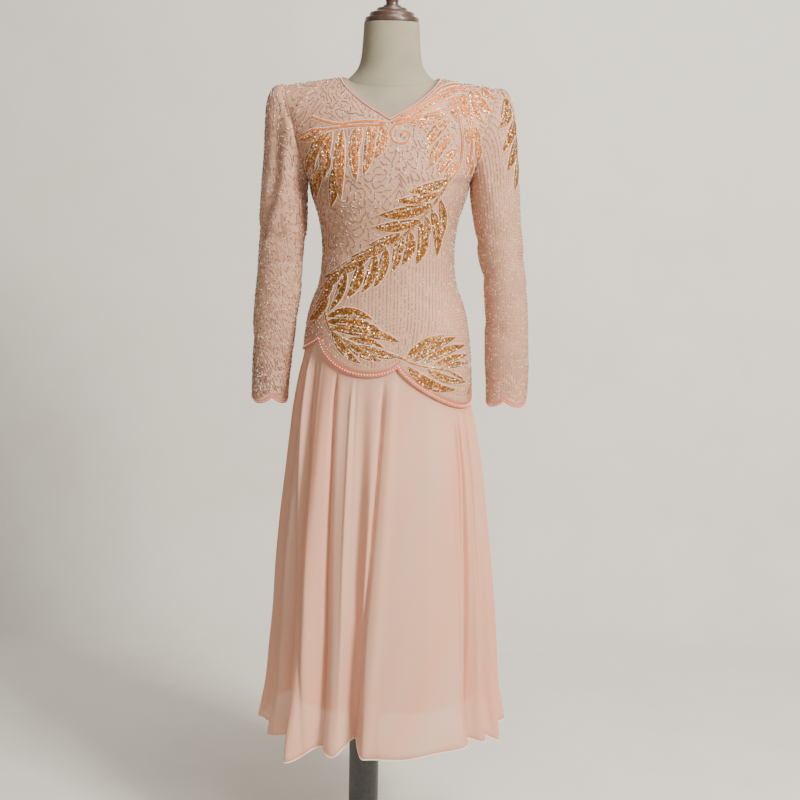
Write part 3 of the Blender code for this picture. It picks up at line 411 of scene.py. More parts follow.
# Sprays: name, style, strands as places in mm across and up, and leaves as foot, tip, width and bow in mm
MAIN_STEM = ((-145, 1062), (-114, 1104), (-104, 1140), (-80, 1172), (-50, 1196), (-14, 1214), (18, 1232),
             (45, 1255), (70, 1283), (92, 1312), (108, 1342))
SPRAYS = (
    ("left_neck_spray", "orange", (
        ((-4, 1437), (-30, 1440), (-62, 1438), (-92, 1434), (-114, 1438), (-140, 1446)),
        ((-4, 1435), (-42, 1433), (-82, 1430), (-112, 1425), (-134, 1424), (-164, 1412)),
        ((10, 1434), (2, 1421), (6, 1408), (18, 1402), (32, 1406), (36, 1418), (28, 1424), (20, 1417)),
     ), (
        (-14, 1434, -28, 1374, 19, 8), (-37, 1433, -46, 1345, 18, 6), (-60, 1430, -58, 1332, 18, -4),
        (-84, 1426, -85, 1300, 20, -5), (-102, 1424, -114, 1335, 18, -8), (-113, 1422, -138, 1352, 18, -8),
        (-124, 1428, -164, 1406, 12, 6), (-24, 1433, -38, 1398, 10, 4), (-50, 1431, -52, 1392, 10, -3))),
    ("left_arm_spray", "gold", (
        ((-108, 1420), (-124, 1396), (-134, 1370), (-136, 1330)),
     ), (
        (-123, 1396, -150, 1346, 16, -6), (-119, 1368, -132, 1303, 16, -4), (-101, 1356, -104, 1288, 17, 4),
        (-112, 1390, -118, 1340, 13, 4), (-128, 1350, -142, 1300, 13, -3))),
    ("right_neck_spray", "orange", (
        ((4, 1438), (30, 1452), (62, 1470), (95, 1494), (128, 1504), (160, 1506)),
        ((8, 1434), (40, 1448), (75, 1465), (104, 1478), (126, 1482)),
        ((18, 1436), (55, 1450), (92, 1462), (116, 1466)),
        ((70, 1482), (92, 1502), (112, 1510), (134, 1510)),
        ((74, 1476), (104, 1492), (140, 1498)),
        ((20, 1450), (50, 1468), (80, 1487), (104, 1500), (130, 1507)),
        ((12, 1438), (46, 1453), (82, 1470), (112, 1483), (138, 1487)),
     ), (
        (22, 1446, 67, 1463, 11, 3), (43, 1446, 94, 1461, 12, -3), (60, 1464, 112, 1489, 11, 4),
        (30, 1440, 70, 1443, 11, -3), (84, 1480, 140, 1502, 10, 4), (132, 1494, 152, 1442, 18, -8),
        (156, 1499, 186, 1458, 17, -8), (166, 1504, 190, 1484, 12, -4), (114, 1476, 130, 1446, 14, -5),
        (146, 1502, 170, 1440, 14, -9))),
    ("right_arm_spray", "orange", (
        ((104, 1480), (120, 1460), (128, 1430), (130, 1395), (124, 1362), (110, 1342)),
        ((112, 1482), (134, 1458), (146, 1420), (147, 1385), (138, 1350)),
        ((122, 1478), (142, 1450), (153, 1418), (156, 1380)),
     ), (
        (108, 1446, 64, 1390, 18, -7), (114, 1422, 72, 1358, 19, -7), (122, 1394, 87, 1345, 17, -6),
        (103, 1454, 50, 1426, 14, -5), (96, 1463, 56, 1444, 10, -3), (150, 1436, 164, 1404, 15, -3),
        (154, 1410, 160, 1370, 13, 3), (126, 1372, 100, 1336, 14, -5), (138, 1386, 146, 1346, 13, 4),
        (134, 1438, 140, 1398, 11, 3))),
    ("main_spray", "gold", (MAIN_STEM,), (
        (105, 1341, 33, 1318, 17, 5), (92, 1318, 12, 1302, 16, 5), (78, 1298, -18, 1276, 21, 6),
        (57, 1268, -29, 1254, 18, 5), (22, 1244, -36, 1222, 16, 5), (4, 1228, -68, 1198, 16, 5),
        (-28, 1209, -109, 1163, 17, 5), (-59, 1198, -118, 1157, 14, 5), (-82, 1180, -126, 1134, 14, 5),
        (-100, 1158, -132, 1106, 13, 4), (-108, 1127, -145, 1075, 15, 4), (98, 1326, 60, 1320, 9, -3),
        (92, 1306, 97, 1232, 13, 4), (76, 1288, 88, 1200, 16, 7), (56, 1266, 50, 1186, 19, 10),
        (38, 1248, 25, 1186, 18, 8), (14, 1229, 6, 1172, 15, 6), (-4, 1218, -25, 1144, 17, 6),
        (-24, 1208, -48, 1133, 18, 7), (-48, 1195, -75, 1122, 18, 7), (-76, 1174, -105, 1098, 14, 5),
        (66, 1276, 66, 1226, 11, 5), (26, 1238, 12, 1200, 11, 5))),
    ("cap_spray", "gold", (
        ((203, 1497), (219, 1474), (228, 1440), (232, 1400), (236, 1350)),
     ), (
        (208, 1490, 199, 1432, 13, 4), (218, 1470, 195, 1432, 14, 4), (226, 1450, 203, 1390, 15, 5),
        (230, 1420, 214, 1356, 14, 4), (234, 1380, 230, 1320, 10, 2))),
    ("hem_spray", "gold", (
        ((-114, 1096), (-104, 1068), (-80, 1050), (-45, 1036), (0, 1026), (36, 1015)),
     ), (
        (-108, 1088, -25, 1086, 18, 10), (-110, 1078, -6, 1064, 18, 8), (-104, 1067, 26, 1046, 20, 8),
        (-100, 1064, -46, 1006, 16, -7), (-80, 1052, -8, 1012, 16, -6), (-50, 1040, 26, 1021, 15, -5),
        (-70, 1050, -4, 1036, 12, 5))),
    ("fan_spray", "gold", (
        ((28, 1018), (50, 1008), (80, 1001), (112, 993), (142, 974)),
     ), (
        (38, 1017, 107, 1058, 18, 5), (49, 1011, 128, 1053, 18, 6), (66, 1008, 147, 1036, 16, 6),
        (86, 1002, 152, 1017, 12, 4), (100, 999, 152, 1001, 10, 3), (40, 1003, 131, 957, 18, -12),
        (75, 998, 150, 968, 13, -6))),
)

# Cloth: name, colour, shade, threads a metre, roughness, alpha, stretch of the tone clouds, bump
# Deeper salmon of the chiffon: its own tone in random streaks, and, laid by zones, partly painted shade in
# the fold valleys
CHIFFON_SALMON = (0.90, 0.43, 0.27)
EVEN_CLOUDS, STREAKS, MOTTLED = (9, 9, 9), (11, 0.7, 1), (14, 14, 14)
CLOTHS = {
    "silk": ("beaded_silk", (0.74, 0.41, 0.26), (0.64, 0.34, 0.21), 900, 0.50, 0.66, EVEN_CLOUDS, 0.25),
    "chiffon": ("chiffon", (0.76, 0.51, 0.38), CHIFFON_SALMON, 1100, 0.62, 0.68, STREAKS, 0.25),
    "lining": ("lining_satin", (0.90, 0.60, 0.45), (0.86, 0.54, 0.39), 1300, 0.35, 1.0, EVEN_CLOUDS, 0.25),
    "tape": ("zip_tape", (0.80, 0.42, 0.29), (0.72, 0.35, 0.24), 700, 0.60, 1.0, EVEN_CLOUDS, 0.25),
    "linen": ("form_linen", (0.33, 0.29, 0.20), (0.26, 0.23, 0.16), 620, 0.80, 1.0, MOTTLED, 0.50),
    "cord": ("salmon_cord", (0.74, 0.20, 0.11), (0.60, 0.14, 0.07), 1500, 0.38, 1.0, EVEN_CLOUDS, 0.25),
    "hem": ("rolled_hem", (0.98, 0.76, 0.60), (0.96, 0.68, 0.50), 1500, 0.50, 1.0, EVEN_CLOUDS, 0.25),
}
MIX_COLOUR_INPUTS = (6, 7)
MIX_COLOUR_OUTPUT = 2
CLOUD_DETAIL = 3.0
CLOUD_RANGE = (0.45, 0.85)
SLUB_SCALE = 260.0
SLUB_DETAIL = 2.0
SLUB_TONE = 0.3
SLUB_ROUGHNESS = 0.12
SLUB_HEIGHT = 0.8
WEAVE_DEPTH = 0.2 * MM

# Beads and sequins: name, colour, shade, glint (a painted highlight colour that a random few take), cells a
# metre, share without a glint, roughness, metal, coat
SHINY = {
    "thread": ("clear_beads", (0.42, 0.26, 0.19), (0.20, 0.11, 0.08), (1.0, 0.93, 0.88),
               300, 0.78, 0.14, 0.35, 0.5),
    "pearl": ("pearl_beads", (1.0, 0.94, 0.91), (1.0, 0.84, 0.78), (1.0, 0.98, 0.96),
              400, 0.55, 0.16, 0.0, 0.8),
    "gold": ("gold_sequins", (0.58, 0.23, 0.045), (0.22, 0.075, 0.015), (1.0, 0.70, 0.30),
             380, 0.84, 0.16, 0.9, 0.2),
    "gold_bed": ("gold_ground", (0.34, 0.125, 0.03), (0.22, 0.08, 0.018), (0.50, 0.22, 0.06),
                 500, 0.85, 0.35, 0.5, 0.0),
    "orange_bed": ("amber_ground", (0.52, 0.19, 0.05), (0.40, 0.13, 0.03), (0.68, 0.30, 0.10),
                   500, 0.85, 0.38, 0.3, 0.0),
    "amber": ("amber_sequins", (0.72, 0.27, 0.06), (0.40, 0.14, 0.03), (1.0, 0.74, 0.44),
              380, 0.82, 0.18, 0.75, 0.3),
    "orange": ("orange_cord", (0.66, 0.19, 0.035), (0.54, 0.14, 0.025), (0.78, 0.28, 0.07),
               400, 0.88, 0.32, 0.15, 0.2),
    "stem": ("gold_stem", (0.50, 0.20, 0.045), (0.30, 0.11, 0.02), (1.0, 0.66, 0.28),
             600, 0.86, 0.25, 0.7, 0.2),
    "opal": ("opal_sequins", (1.0, 0.90, 0.88), (0.96, 0.76, 0.52), (1.0, 0.98, 1.0),
             360, 0.62, 0.06, 0.5, 1.0),
    "pale": ("pale_beads", (1.0, 0.82, 0.70), (0.94, 0.68, 0.54), (1.0, 0.96, 0.94),
             500, 0.70, 0.24, 0.0, 0.5),
}
SPARKLE_SPREAD = 0.25

# Hard surfaces: name, colour, shade, grain a metre, its stretch, roughness, metal, coat, bump
EVEN, UPRIGHT = (1, 1, 1), (1, 1, 0.08)
HARD = {
    "wood": ("turned_wood", (0.045, 0.025, 0.018), (0.09, 0.045, 0.028), 90, UPRIGHT, 0.35, 0.0, 0.4, 0.1),
    "steel": ("black_steel", (0.018, 0.018, 0.02), (0.035, 0.034, 0.033), 160, EVEN, 0.38, 0.0, 0.3, 0.2),
    "brass": ("zip_metal", (0.78, 0.62, 0.36), (0.60, 0.46, 0.26), 300, EVEN, 0.24, 1.0, 0.0, 0.1),
    "floor": ("pale_floor", (0.84, 0.82, 0.76), (0.80, 0.78, 0.71), 5, EVEN, 0.80, 0.0, 0.0, 0.05),
}
GRAIN_DETAIL = 5.0
MARK_SCALE = 14.0
MARK_DETAIL = 3.0
MARK_TONE = 0.5
MARK_RANGE = (0.55, 0.95)
MARK_ROUGHNESS = 0.18
GRAIN_DEPTH = 0.3 * MM

# Studio
FLOOR_WIDTH = 8.0
FLOOR_DEPTH = 8.0
WALL_Y = 1.5
WALL_HEIGHT = 3.2
WALL_BEND = 0.35
BEND_STEPS = 16
WORLD_COLOUR = (1.0, 0.97, 0.93)
WORLD_STRENGTH = 0.20
# Lights: name, place, place aimed at, size, power, colour
LIGHTS = (
    ("key", (2.1, -2.2, 2.6), (0, 0, 0.95), 0.8, 215.0, (1.0, 0.95, 0.88)),
    ("fill", (-1.8, -2.6, 1.7), (0, 0, 0.9), 2.0, 9.0, (0.97, 0.98, 1.0)),
    ("top", (0.5, -0.7, 3.1), (0, 0, 1.1), 1.0, 40.0, (1.0, 0.97, 0.93)),
)


# Curves and small helpers
def cubic(f, width, first, second, first_slope, second_slope):
    """Smooth value at a share f of the way between two keys that lie a width apart."""
    start = (1 + 2 * f) * (1 - f) ** 2 * first + f * (1 - f) ** 2 * width * first_slope
    end = f * f * (3 - 2 * f) * second + f * f * (f - 1) * width * second_slope
    return start + end


class Column:
    """Smooth curve through one column of a table."""

    def __init__(self, table, column, keys=None):
        self.keys = np.array([row[0] for row in table] if keys is None else keys, float)
        self.values = np.array([row[column] for row in table], float)
        self.slopes = np.gradient(self.values, self.keys)

    def __call__(self, at):
        keys, values, slopes = self.keys, self.values, self.slopes
        at = np.clip(at, keys[0], keys[-1])
        i = np.clip(np.searchsorted(keys, at, side="right") - 1, 0, len(keys) - 2)
        width = keys[i + 1] - keys[i]
        return cubic((at - keys[i]) / width, width, values[i], values[i + 1], slopes[i], slopes[i + 1])


HALF_WIDTH = Column(BODY_TABLE, 1)
DEPTH = {False: Column(BODY_TABLE, 2), True: Column(BODY_TABLE, 3)}
NECKLINE = Column(NECK_FRONT, 1)
SKIRT_SIZE = {k: Column(SKIRT, k) for k in (1, 2, 3, 4)}


def ease(f):
    f = np.clip(f, 0.0, 1.0)
    return f * f * (3 - 2 * f)


def line_way(points, closed):
    """Direction along a line at each of its points."""
    if closed:
        return unit(np.roll(points, -1, axis=0) - np.roll(points, 1, axis=0))
    return unit(np.gradient(points, axis=0))


def turn_apart(degrees, at):
    """Signed angle from one place round the dress to another, in degrees."""
    return (degrees - at + 180.0) % 360.0 - 180.0


def unit(v):
    v = np.asarray(v, float)
    return v / np.maximum(np.linalg.norm(v, axis=-1, keepdims=True), TINY)


# Surface of the bodice
def half_width(z):
    share = (z - ARMPIT_Z) / (SHOULDER_END_Z - ARMPIT_Z)
    pit = BODY_TABLE[-1][1]
    return np.where(z <= ARMPIT_Z, HALF_WIDTH(z), pit + (SHOULDER_END_X - pit) * share)


def shoulder_height(x):
    share = (np.abs(x) - SHOULDER_NECK_X) / (SHOULDER_END_X - SHOULDER_NECK_X)
    return SHOULDER_NECK_Z + (SHOULDER_END_Z - SHOULDER_NECK_Z) * share


def rise_height(x, back):
    top = BACK_RISE_Z if back else FRONT_RISE_Z
    inner = top + (SHOULDER_NECK_Z - top) * ease(np.abs(x) / SHOULDER_NECK_X)
    return np.where(np.abs(x) >= SHOULDER_NECK_X, shoulder_height(x), inner)


def armhole_depth(z, back):
    middle = (ARMPIT_Z + SHOULDER_END_Z) / 2
    reach = (SHOULDER_END_Z - ARMPIT_Z) / 2
    depth = ARMHOLE_BACK if back else ARMHOLE_FRONT
    round_part = np.sqrt(np.clip(1 - ((z - middle) / reach) ** 2, 0, 1))
    return np.where(z <= ARMPIT_Z, 0.0, depth * round_part)


def boxy_sine(angle):
    return np.sin(angle) + BOX_SHARE * np.sin(3 * angle)


def across(w, z):
    turn = math.pi / 2 - ARMHOLE_TURN * ease((z - ARMPIT_Z) / ARMHOLE_BLEND)
    angle = turn * w
    return angle, turn, half_width(z) * boxy_sine(angle) / boxy_sine(turn)


def body_point(w, z, back):
    """Points of the bodice's outer face. w runs from -1 to 1 across the front or the back."""
    w, z = np.broadcast_arrays(np.asarray(w, float), np.asarray(z, float))
    angle, turn, x = across(w, z)
    top = rise_height(x, back)
    up = np.clip((z - ARMPIT_Z) / (top - ARMPIT_Z), 0, 1)
    power = RISE_POWER + RISE_POWER_INNER * (1 - ease(np.abs(x) / SHOULDER_NECK_X))
    high = BODY_TABLE[-1][3 if back else 2] * np.clip(1 - up * up, 0, 1) ** power
    depth = np.where(z <= ARMPIT_Z, DEPTH[back](z), high)
    edge = armhole_depth(z, back)
    y = edge + (depth - edge) * (np.cos(angle) - np.cos(turn)) / (1 - np.cos(turn))
    y = np.where((np.abs(x) > SHOULDER_NECK_X) & (z > ARMPIT_Z), np.maximum(y, 0), y)
    return np.stack([x, y if back else -y, z], axis=-1)


def neck_height(x, back):
    x = np.abs(x)
    if back:
        return BACK_NECK_Z + (SHOULDER_NECK_Z - BACK_NECK_Z) * (x / SHOULDER_NECK_X) ** 2
    return NECKLINE(x)


def find_neck_column():
    low, high = 0.0, 1.0
    for _ in range(HALVINGS):
        middle = (low + high) / 2
        inside = across(middle, SHOULDER_NECK_Z)[2] < SHOULDER_NECK_X
        low, high = (middle, high) if inside else (low, middle)
    return (low + high) / 2


NECK_COLUMN_AT = find_neck_column()


def column_top(w, back):
    """Heights where columns meet the neck opening or the shoulder seam."""
    z = np.full(w.shape, SHOULDER_END_Z)
    for _ in range(HALVINGS):
        x = np.abs(across(w, z)[2])
        goal = np.where(np.abs(w) >= NECK_COLUMN_AT - TINY, shoulder_height(x), neck_height(x, back))
        z = z + (goal - z) / 2
    return z


def hem_height(degrees):
    """Height of the scalloped hem at angles from the front."""
    first = HEM_NOTCHES[0][0]
    degrees = (np.asarray(degrees, float) - first) % 360.0 + first
    height = np.full(degrees.shape, HEM_NOTCHES[-1][1])
    for start, end in zip(HEM_NOTCHES, HEM_NOTCHES[1:]):
        f = np.clip((degrees - start[0]) / (end[0] - start[0]), 0, 1)
        value = start[1] + (end[1] - start[1]) * f - start[2] * np.sin(math.pi * f) ** SCALLOP_ROUND
        height = np.where((degrees >= start[0]) & (degrees <= end[0]), value, height)
    return height


def column_degrees(w, back):
    return 180.0 - 90.0 * w if back else 90.0 * w


def panel_columns(per_side):
    outer = NECK_COLUMN_AT + (1 - NECK_COLUMN_AT) * np.arange(1, per_side + 1) / per_side
    inner = NECK_COLUMN_AT * np.arange(1, per_side + 1) / per_side
    right = np.concatenate([inner, outer])
    return np.concatenate([-right[::-1], [0.0], right])


def panel_heights(w, back, low_rows, body_rows, chest_rows):
    hem = hem_height(column_degrees(w, back)) + BRAID_WIDTH + SEAM_GAP
    low = hem + (HIP_SEAM_Z - hem) * (np.arange(low_rows) / low_rows)[:, None]
    body = HIP_SEAM_Z + (ARMPIT_Z - HIP_SEAM_Z) * (np.arange(body_rows) / body_rows)[:, None]
    top = column_top(w, back)
    rise = rise_height(across(w, top)[2], back)
    last = np.arcsin(np.clip((top - ARMPIT_Z) / (rise - ARMPIT_Z), 0, 1))
    turn = last * (np.arange(chest_rows + 1) / chest_rows)[:, None]
    chest = ARMPIT_Z + (rise - ARMPIT_Z) * np.sin(turn)
    return np.concatenate([low, body + 0 * w, chest])


def body_normals(w, z, back, top):
    w = np.clip(w, -1 + STEP_W, 1 - STEP_W)
    z = np.minimum(z, top - STEP_Z)
    along = body_point(w + STEP_W, z, back) - body_point(w - STEP_W, z, back)
    up = body_point(w, z + STEP_Z, back) - body_point(w, z - STEP_Z, back)
    normal = unit(np.cross(along, up))
    return -normal if back else normal


def body_grid(back, per_side, rows):
    """Outer points and outward directions of the front or the back, hem to top."""
    w = panel_columns(per_side)
    z = panel_heights(w, back, *rows)
    ww = np.broadcast_to(w, z.shape)
    points, normals = body_point(ww, z, back), body_normals(ww, z, back, z[-1])
    shift = HALF_SEAM if back else -HALF_SEAM
    points[:, 0, 1] += shift
    points[:, -1, 1] += shift
    return points, normals


# Creases and folds that lie in the cloth's own measures
def trough(s, t, at_s, at_t, length, width, degrees, depth):
    """Soft trough, or ridge where depth is below zero, laid at a place and an angle in the cloth."""
    a = math.radians(degrees)
    along = (s - at_s) * math.cos(a) + (t - at_t) * math.sin(a)
    side = -(s - at_s) * math.sin(a) + (t - at_t) * math.cos(a)
    bow = side + TROUGH_BOW * along ** 2 / length
    return -depth * np.exp(-(bow / width) ** 2) * np.exp(-(along / (length / 2)) ** 2)


def creases(s, t, table):
    total = np.zeros(s.shape)
    for at_s, at_t, length, width, degrees, depth in table:
        total += trough(s, t, at_s, at_t, length, width, degrees, depth * MM)
    return total


def ripple(s, t, pitch, height, seed):
    """Slight unevenness of hanging cloth."""
    rng = np.random.default_rng(seed)
    total = np.zeros(s.shape)
    for _ in range(RIPPLE_WAVES):
        a, phase = rng.uniform(0, math.pi), rng.uniform(0, 2 * math.pi)
        scale = rng.uniform(*RIPPLE_SPREAD)
        total += np.sin(2 * math.pi * scale * (s * math.cos(a) + t * math.sin(a)) / pitch + phase)
    return height * total / RIPPLE_WAVES


# Mesh helpers
def deselect():
    bpy.ops.object.select_all(action="DESELECT")


def add_object(name, mesh, slots=()):
    obj = bpy.data.objects.new(name, mesh)
    bpy.context.scene.collection.objects.link(obj)
    for slot in slots:
        mesh.materials.append(slot)
    return obj


def make_active(obj):
    deselect()
    bpy.context.view_layer.objects.active = obj
    obj.select_set(True)


def arc_lengths(grid, closed=False):
    """Distance along each row and up each column, in metres, on every point of a grid."""
    count = grid.shape[1]
    loop = np.concatenate([grid, grid[:, :1]], axis=1) if closed else grid
    step = np.linalg.norm(np.diff(loop, axis=1), axis=2)
    s = np.concatenate([np.zeros((len(grid), 1)), np.cumsum(step, axis=1)], axis=1)
    if not closed:
        s = s - s[:, count // 2:count // 2 + 1]
    rise = np.linalg.norm(np.diff(loop, axis=0), axis=2)
    t = np.concatenate([np.zeros((1, loop.shape[1])), np.cumsum(rise, axis=0)])
    return s, t


def grid_faces(rows, count, closed, flip):
    r, c = np.meshgrid(np.arange(rows - 1), np.arange(count if closed else count - 1), indexing="ij")
    r, c = r.ravel(), c.ravel()
    d = (c + 1) % count
    quads = np.stack([r * count + c, r * count + d, (r + 1) * count + d, (r + 1) * count + c], axis=1)
    spots = np.stack([[r, c], [r, c + 1], [r + 1, c + 1], [r + 1, c]]).transpose(2, 0, 1)
    if flip:
        quads, spots = quads[:, ::-1], spots[:, ::-1]
    return quads, spots


def shell(name, grid, slots, closed=False, flip=False, turns=None):
    """Thin cloth of a point grid, its outer face on the grid, with a UV map in metres of cloth.

    turns, one rising value a column, makes a second UV map of the place round a closed piece.
    """
    rows, count = grid.shape[:2]
    quads, spots = grid_faces(rows, count, closed, flip)
    mesh = bpy.data.meshes.new(name)
    mesh.from_pydata(grid.reshape(-1, 3).tolist(), [], quads.tolist())
    s, t = arc_lengths(grid, closed)
    uv = np.stack([s, t], axis=-1)[spots[..., 0], spots[..., 1]]
    mesh.uv_layers.new(name="cloth").data.foreach_set("uv", uv.ravel())
    if turns is not None:
        ring = np.append(turns, turns[0] + 1)
        place = np.stack([ring[spots[..., 1]], spots[..., 0] / rows], axis=-1)
        mesh.uv_layers.new(name="turn").data.foreach_set("uv", place.ravel())
    mesh.shade_smooth()
    mesh.update()
    obj = add_object(name, mesh, slots)
    make_active(obj)
    wall = obj.modifiers.new("wall", "SOLIDIFY")
    wall.thickness = CLOTH_THICK
    wall.offset = -1.0
    bpy.ops.object.modifier_apply(modifier="wall")
    return obj


def map_points(mesh, uv):
    """UV map in metres of cloth from one place for each vertex."""
    index = np.zeros(len(mesh.loops), int)
    mesh.loops.foreach_get("vertex_index", index)
    mesh.uv_layers.new(name="cloth").data.foreach_set("uv", uv[index].ravel())


def tube(name, points, outward, radii, sides, slots, closed=True, twist=0.0):
    """Cord along a line of points. radii are its half size across and out from the cloth."""
    points = np.asarray(points)
    along = line_way(points, closed)
    side = unit(np.cross(along, outward))
    face = unit(np.cross(side, along))
    angle = 2 * math.pi * np.arange(sides) / sides
    turned = TWIST_LOBES * angle[None, :] + TWIST_TURN * np.arange(len(points))[:, None]
    wave = 1 + twist * np.cos(turned)
    ring = side[:, None] * (radii[0] * np.cos(angle) * wave)[..., None]
    ring = ring + face[:, None] * (radii[1] * np.sin(angle) * wave)[..., None]
    grid = points[:, None] + ring
    quads, _ = grid_faces(len(grid), sides, True, False)
    last = (len(grid) - 1) * sides
    if closed:
        c = np.arange(sides)
        d = (c + 1) % sides
        faces = np.concatenate([quads, np.stack([last + c, last + d, d, c], axis=1)]).tolist()
    else:
        faces = quads.tolist() + [list(range(sides))[::-1], list(range(last, last + sides))]
    mesh = bpy.data.meshes.new(name)
    mesh.from_pydata(grid.reshape(-1, 3).tolist(), [], faces)
    bm = bmesh.new()
    bm.from_mesh(mesh)
    bmesh.ops.recalc_face_normals(bm, faces=bm.faces)
    bm.to_mesh(mesh)
    bm.free()
    step = np.linalg.norm(np.diff(points, axis=0), axis=1)
    length = np.repeat(np.concatenate([[0.0], np.cumsum(step)]), sides)
    round_way = np.tile(angle * radii[0], len(points))
    map_points(mesh, np.stack([length, round_way], axis=1))
    mesh.shade_smooth()
    return add_object(name, mesh, slots)


def many(name, shape, places, ways, outs, sizes, slots, smooth=True):
    """One mesh of many small copies of a shape, each at a place, along a way and out from the cloth."""
    verts, faces = shape
    verts, faces = np.array(verts, float), np.array(faces)
    outs = unit(outs)
    ways = unit(ways - outs * (ways * outs).sum(axis=1, keepdims=True))
    sides = np.cross(outs, ways)
    sizes = np.broadcast_to(np.asarray(sizes, float), (len(places), 3))
    local = verts[None] * sizes[:, None]
    world = (places[:, None] + local[..., :1] * ways[:, None] + local[..., 1:2] * sides[:, None]
             + local[..., 2:] * outs[:, None])
    offset = (np.arange(len(places)) * len(verts))[:, None, None]
    mesh = bpy.data.meshes.new(name)
    faces = (faces[None] + offset).reshape(-1, faces.shape[1])
    mesh.from_pydata(world.reshape(-1, 3).tolist(), [], faces.tolist())
    if smooth:
        mesh.shade_smooth()
    return add_object(name, mesh, slots)


def bead_shape():
    """Bead of eight faces, a unit across on each axis."""
    verts = [(1, 0, 0), (0, 1, 0), (-1, 0, 0), (0, -1, 0), (0, 0, 1), (0, 0, -1)]
    faces = [(0, 1, 4), (1, 2, 4), (2, 3, 4), (3, 0, 4), (1, 0, 5), (2, 1, 5), (3, 2, 5), (0, 3, 5)]
    return verts, faces


def sequin_shape():
    """Cupped disc of a few faces round its middle."""
    rim = [(math.cos(a), math.sin(a), 1.0) for a in np.arange(SEQUIN_SIDES) * 2 * math.pi / SEQUIN_SIDES]
    faces = [(SEQUIN_SIDES, i, (i + 1) % SEQUIN_SIDES) for i in range(SEQUIN_SIDES)]
    return rim + [(0.0, 0.0, 0.0)], faces


def tooth_shape():
    verts = [(x, y, z) for x in (-1, 1) for y in (-1, 1) for z in (0, 1)]
    faces = [(0, 1, 3, 2), (4, 6, 7, 5), (0, 4, 5, 1), (2, 3, 7, 6), (1, 5, 7, 3), (0, 2, 6, 4)]
    return verts, faces


class Ground:
    """Surface that beads and sequins are laid on."""

    def __init__(self, *grids):
        verts, faces = [], []
        for grid, closed, flip in grids:
            quads, _ = grid_faces(grid.shape[0], grid.shape[1], closed, flip)
            faces.extend((quads + len(verts)).tolist())
            verts.extend(grid.reshape(-1, 3).tolist())
        self.tree = BVHTree.FromPolygons(verts, faces)

    def front(self, x, z):
        """Place on the front of the cloth at a distance from the middle and a height."""
        place, normal, _, _ = self.tree.ray_cast(Vector((x, FAR_FRONT, z)), Vector((0, 1, 0)))
        if place is None:
            place, normal, _, _ = self.tree.find_nearest(Vector((x, 0.0, z)))
        return np.array(place), np.array(normal)


# Beading
def wave_field(s, t, pitch, seed):
    """Field of many waves of one length. Its zero lines wander at even distances, like vermicelli."""
    rng = np.random.default_rng(seed)
    total = np.zeros(s.shape)
    for _ in range(FIELD_WAVES):
        a, phase = rng.uniform(0, 2 * math.pi), rng.uniform(0, 2 * math.pi)
        k = 2 * math.pi / pitch * rng.uniform(*FIELD_SPREAD)
        total += np.sin(k * (s * math.cos(a) + t * math.sin(a)) + phase)
    return total


def zero_line_spots(grid, normals, field, keep):
    """Places where a field changes sign on the edges of a grid, with the way of the line there."""
    found = []
    ds = np.abs(np.diff(field, axis=1))
    dt = np.abs(np.diff(field, axis=0))
    for axis in (0, 1):
        first = field[:-1, :] if axis == 0 else field[:, :-1]
        second = field[1:, :] if axis == 0 else field[:, 1:]
        if axis == 0:
            cross = np.zeros(first.shape)
            cross[:, :-1] = ds[:-1]
            steeper = dt >= cross
        else:
            cross = np.zeros(first.shape)
            cross[:-1, :] = dt[:, :-1]
            steeper = ds > cross
        hit = (first * second < 0) & steeper & (keep[:first.shape[0], :first.shape[1]])
        r, c = np.nonzero(hit)
        f = (first[r, c] / (first[r, c] - second[r, c]))[:, None]
        r2, c2 = (r + 1, c) if axis == 0 else (r, c + 1)
        place = grid[r, c] * (1 - f) + grid[r2, c2] * f
        out = unit(normals[r, c] * (1 - f) + normals[r2, c2] * f)
        r3, c3 = np.minimum(r + 1, grid.shape[0] - 1), np.minimum(c + 1, grid.shape[1] - 1)
        ups, rights = grid[r3, c] - grid[r, c], grid[r, c3] - grid[r, c]
        fu = (field[r3, c] - field[r, c]) / np.maximum(np.linalg.norm(ups, axis=1), TINY)
        fr = (field[r, c3] - field[r, c]) / np.maximum(np.linalg.norm(rights, axis=1), TINY)
        way = unit(rights) * fu[:, None] - unit(ups) * fr[:, None]
        found.append((place, out, way))
    return [np.concatenate(parts) for parts in zip(*found)]


def row_spots(grid, normals, s, t, pitch, gap, keep, seed):
    """Places of beads in upright rows, in pairs that lean to each other."""
    rng = np.random.default_rng(seed)
    places, outs, ways = [], [], []
    low, high = math.floor(s.min() / pitch), math.ceil(s.max() / pitch)
    for line in range(low, high + 1):
        wanted = line * pitch
        column = []
        for r in range(len(grid)):
            row = s[r]
            if not row[0] < wanted < row[-1]:
                column.append(None)
                continue
            c = int(np.searchsorted(row, wanted)) - 1
            f = (wanted - row[c]) / (row[c + 1] - row[c])
            column.append((c, f, t[r, c], keep[r, c]))
        last = -1.0
        for r, spot in enumerate(column):
            if spot is None or not spot[3] or spot[2] - last < gap:
                continue
            c, f, last, _ = spot
            place = grid[r, c] * (1 - f) + grid[r, c + 1] * f
            up = unit(grid[min(r + 1, len(grid) - 1), c] - grid[max(r - 1, 0), c])
            right = unit(grid[r, c + 1] - grid[r, c])
            lean = (ROW_LEAN if line % 2 else -ROW_LEAN) + rng.uniform(-LEAN_SPREAD, LEAN_SPREAD)
            places.append(place)
            outs.append(normals[r, c])
            ways.append(up + right * lean)
    return np.array(places), np.array(outs), np.array(ways)


def lay_beads(name, places, outs, ways, size, slots):
    middle = places + outs * (size[2] * BEAD_SINK)
    return many(name, bead_shape(), middle, ways, outs, size, slots)


# Shader helpers
def connect(tree, source, target):
    tree.links.new(source, target)


def add_node(tree, kind, **values):
    node = tree.nodes.new(kind)
    for key, value in values.items():
        if key in node.inputs:
            node.inputs[key].default_value = value
        else:
            setattr(node, key, value)
    return node


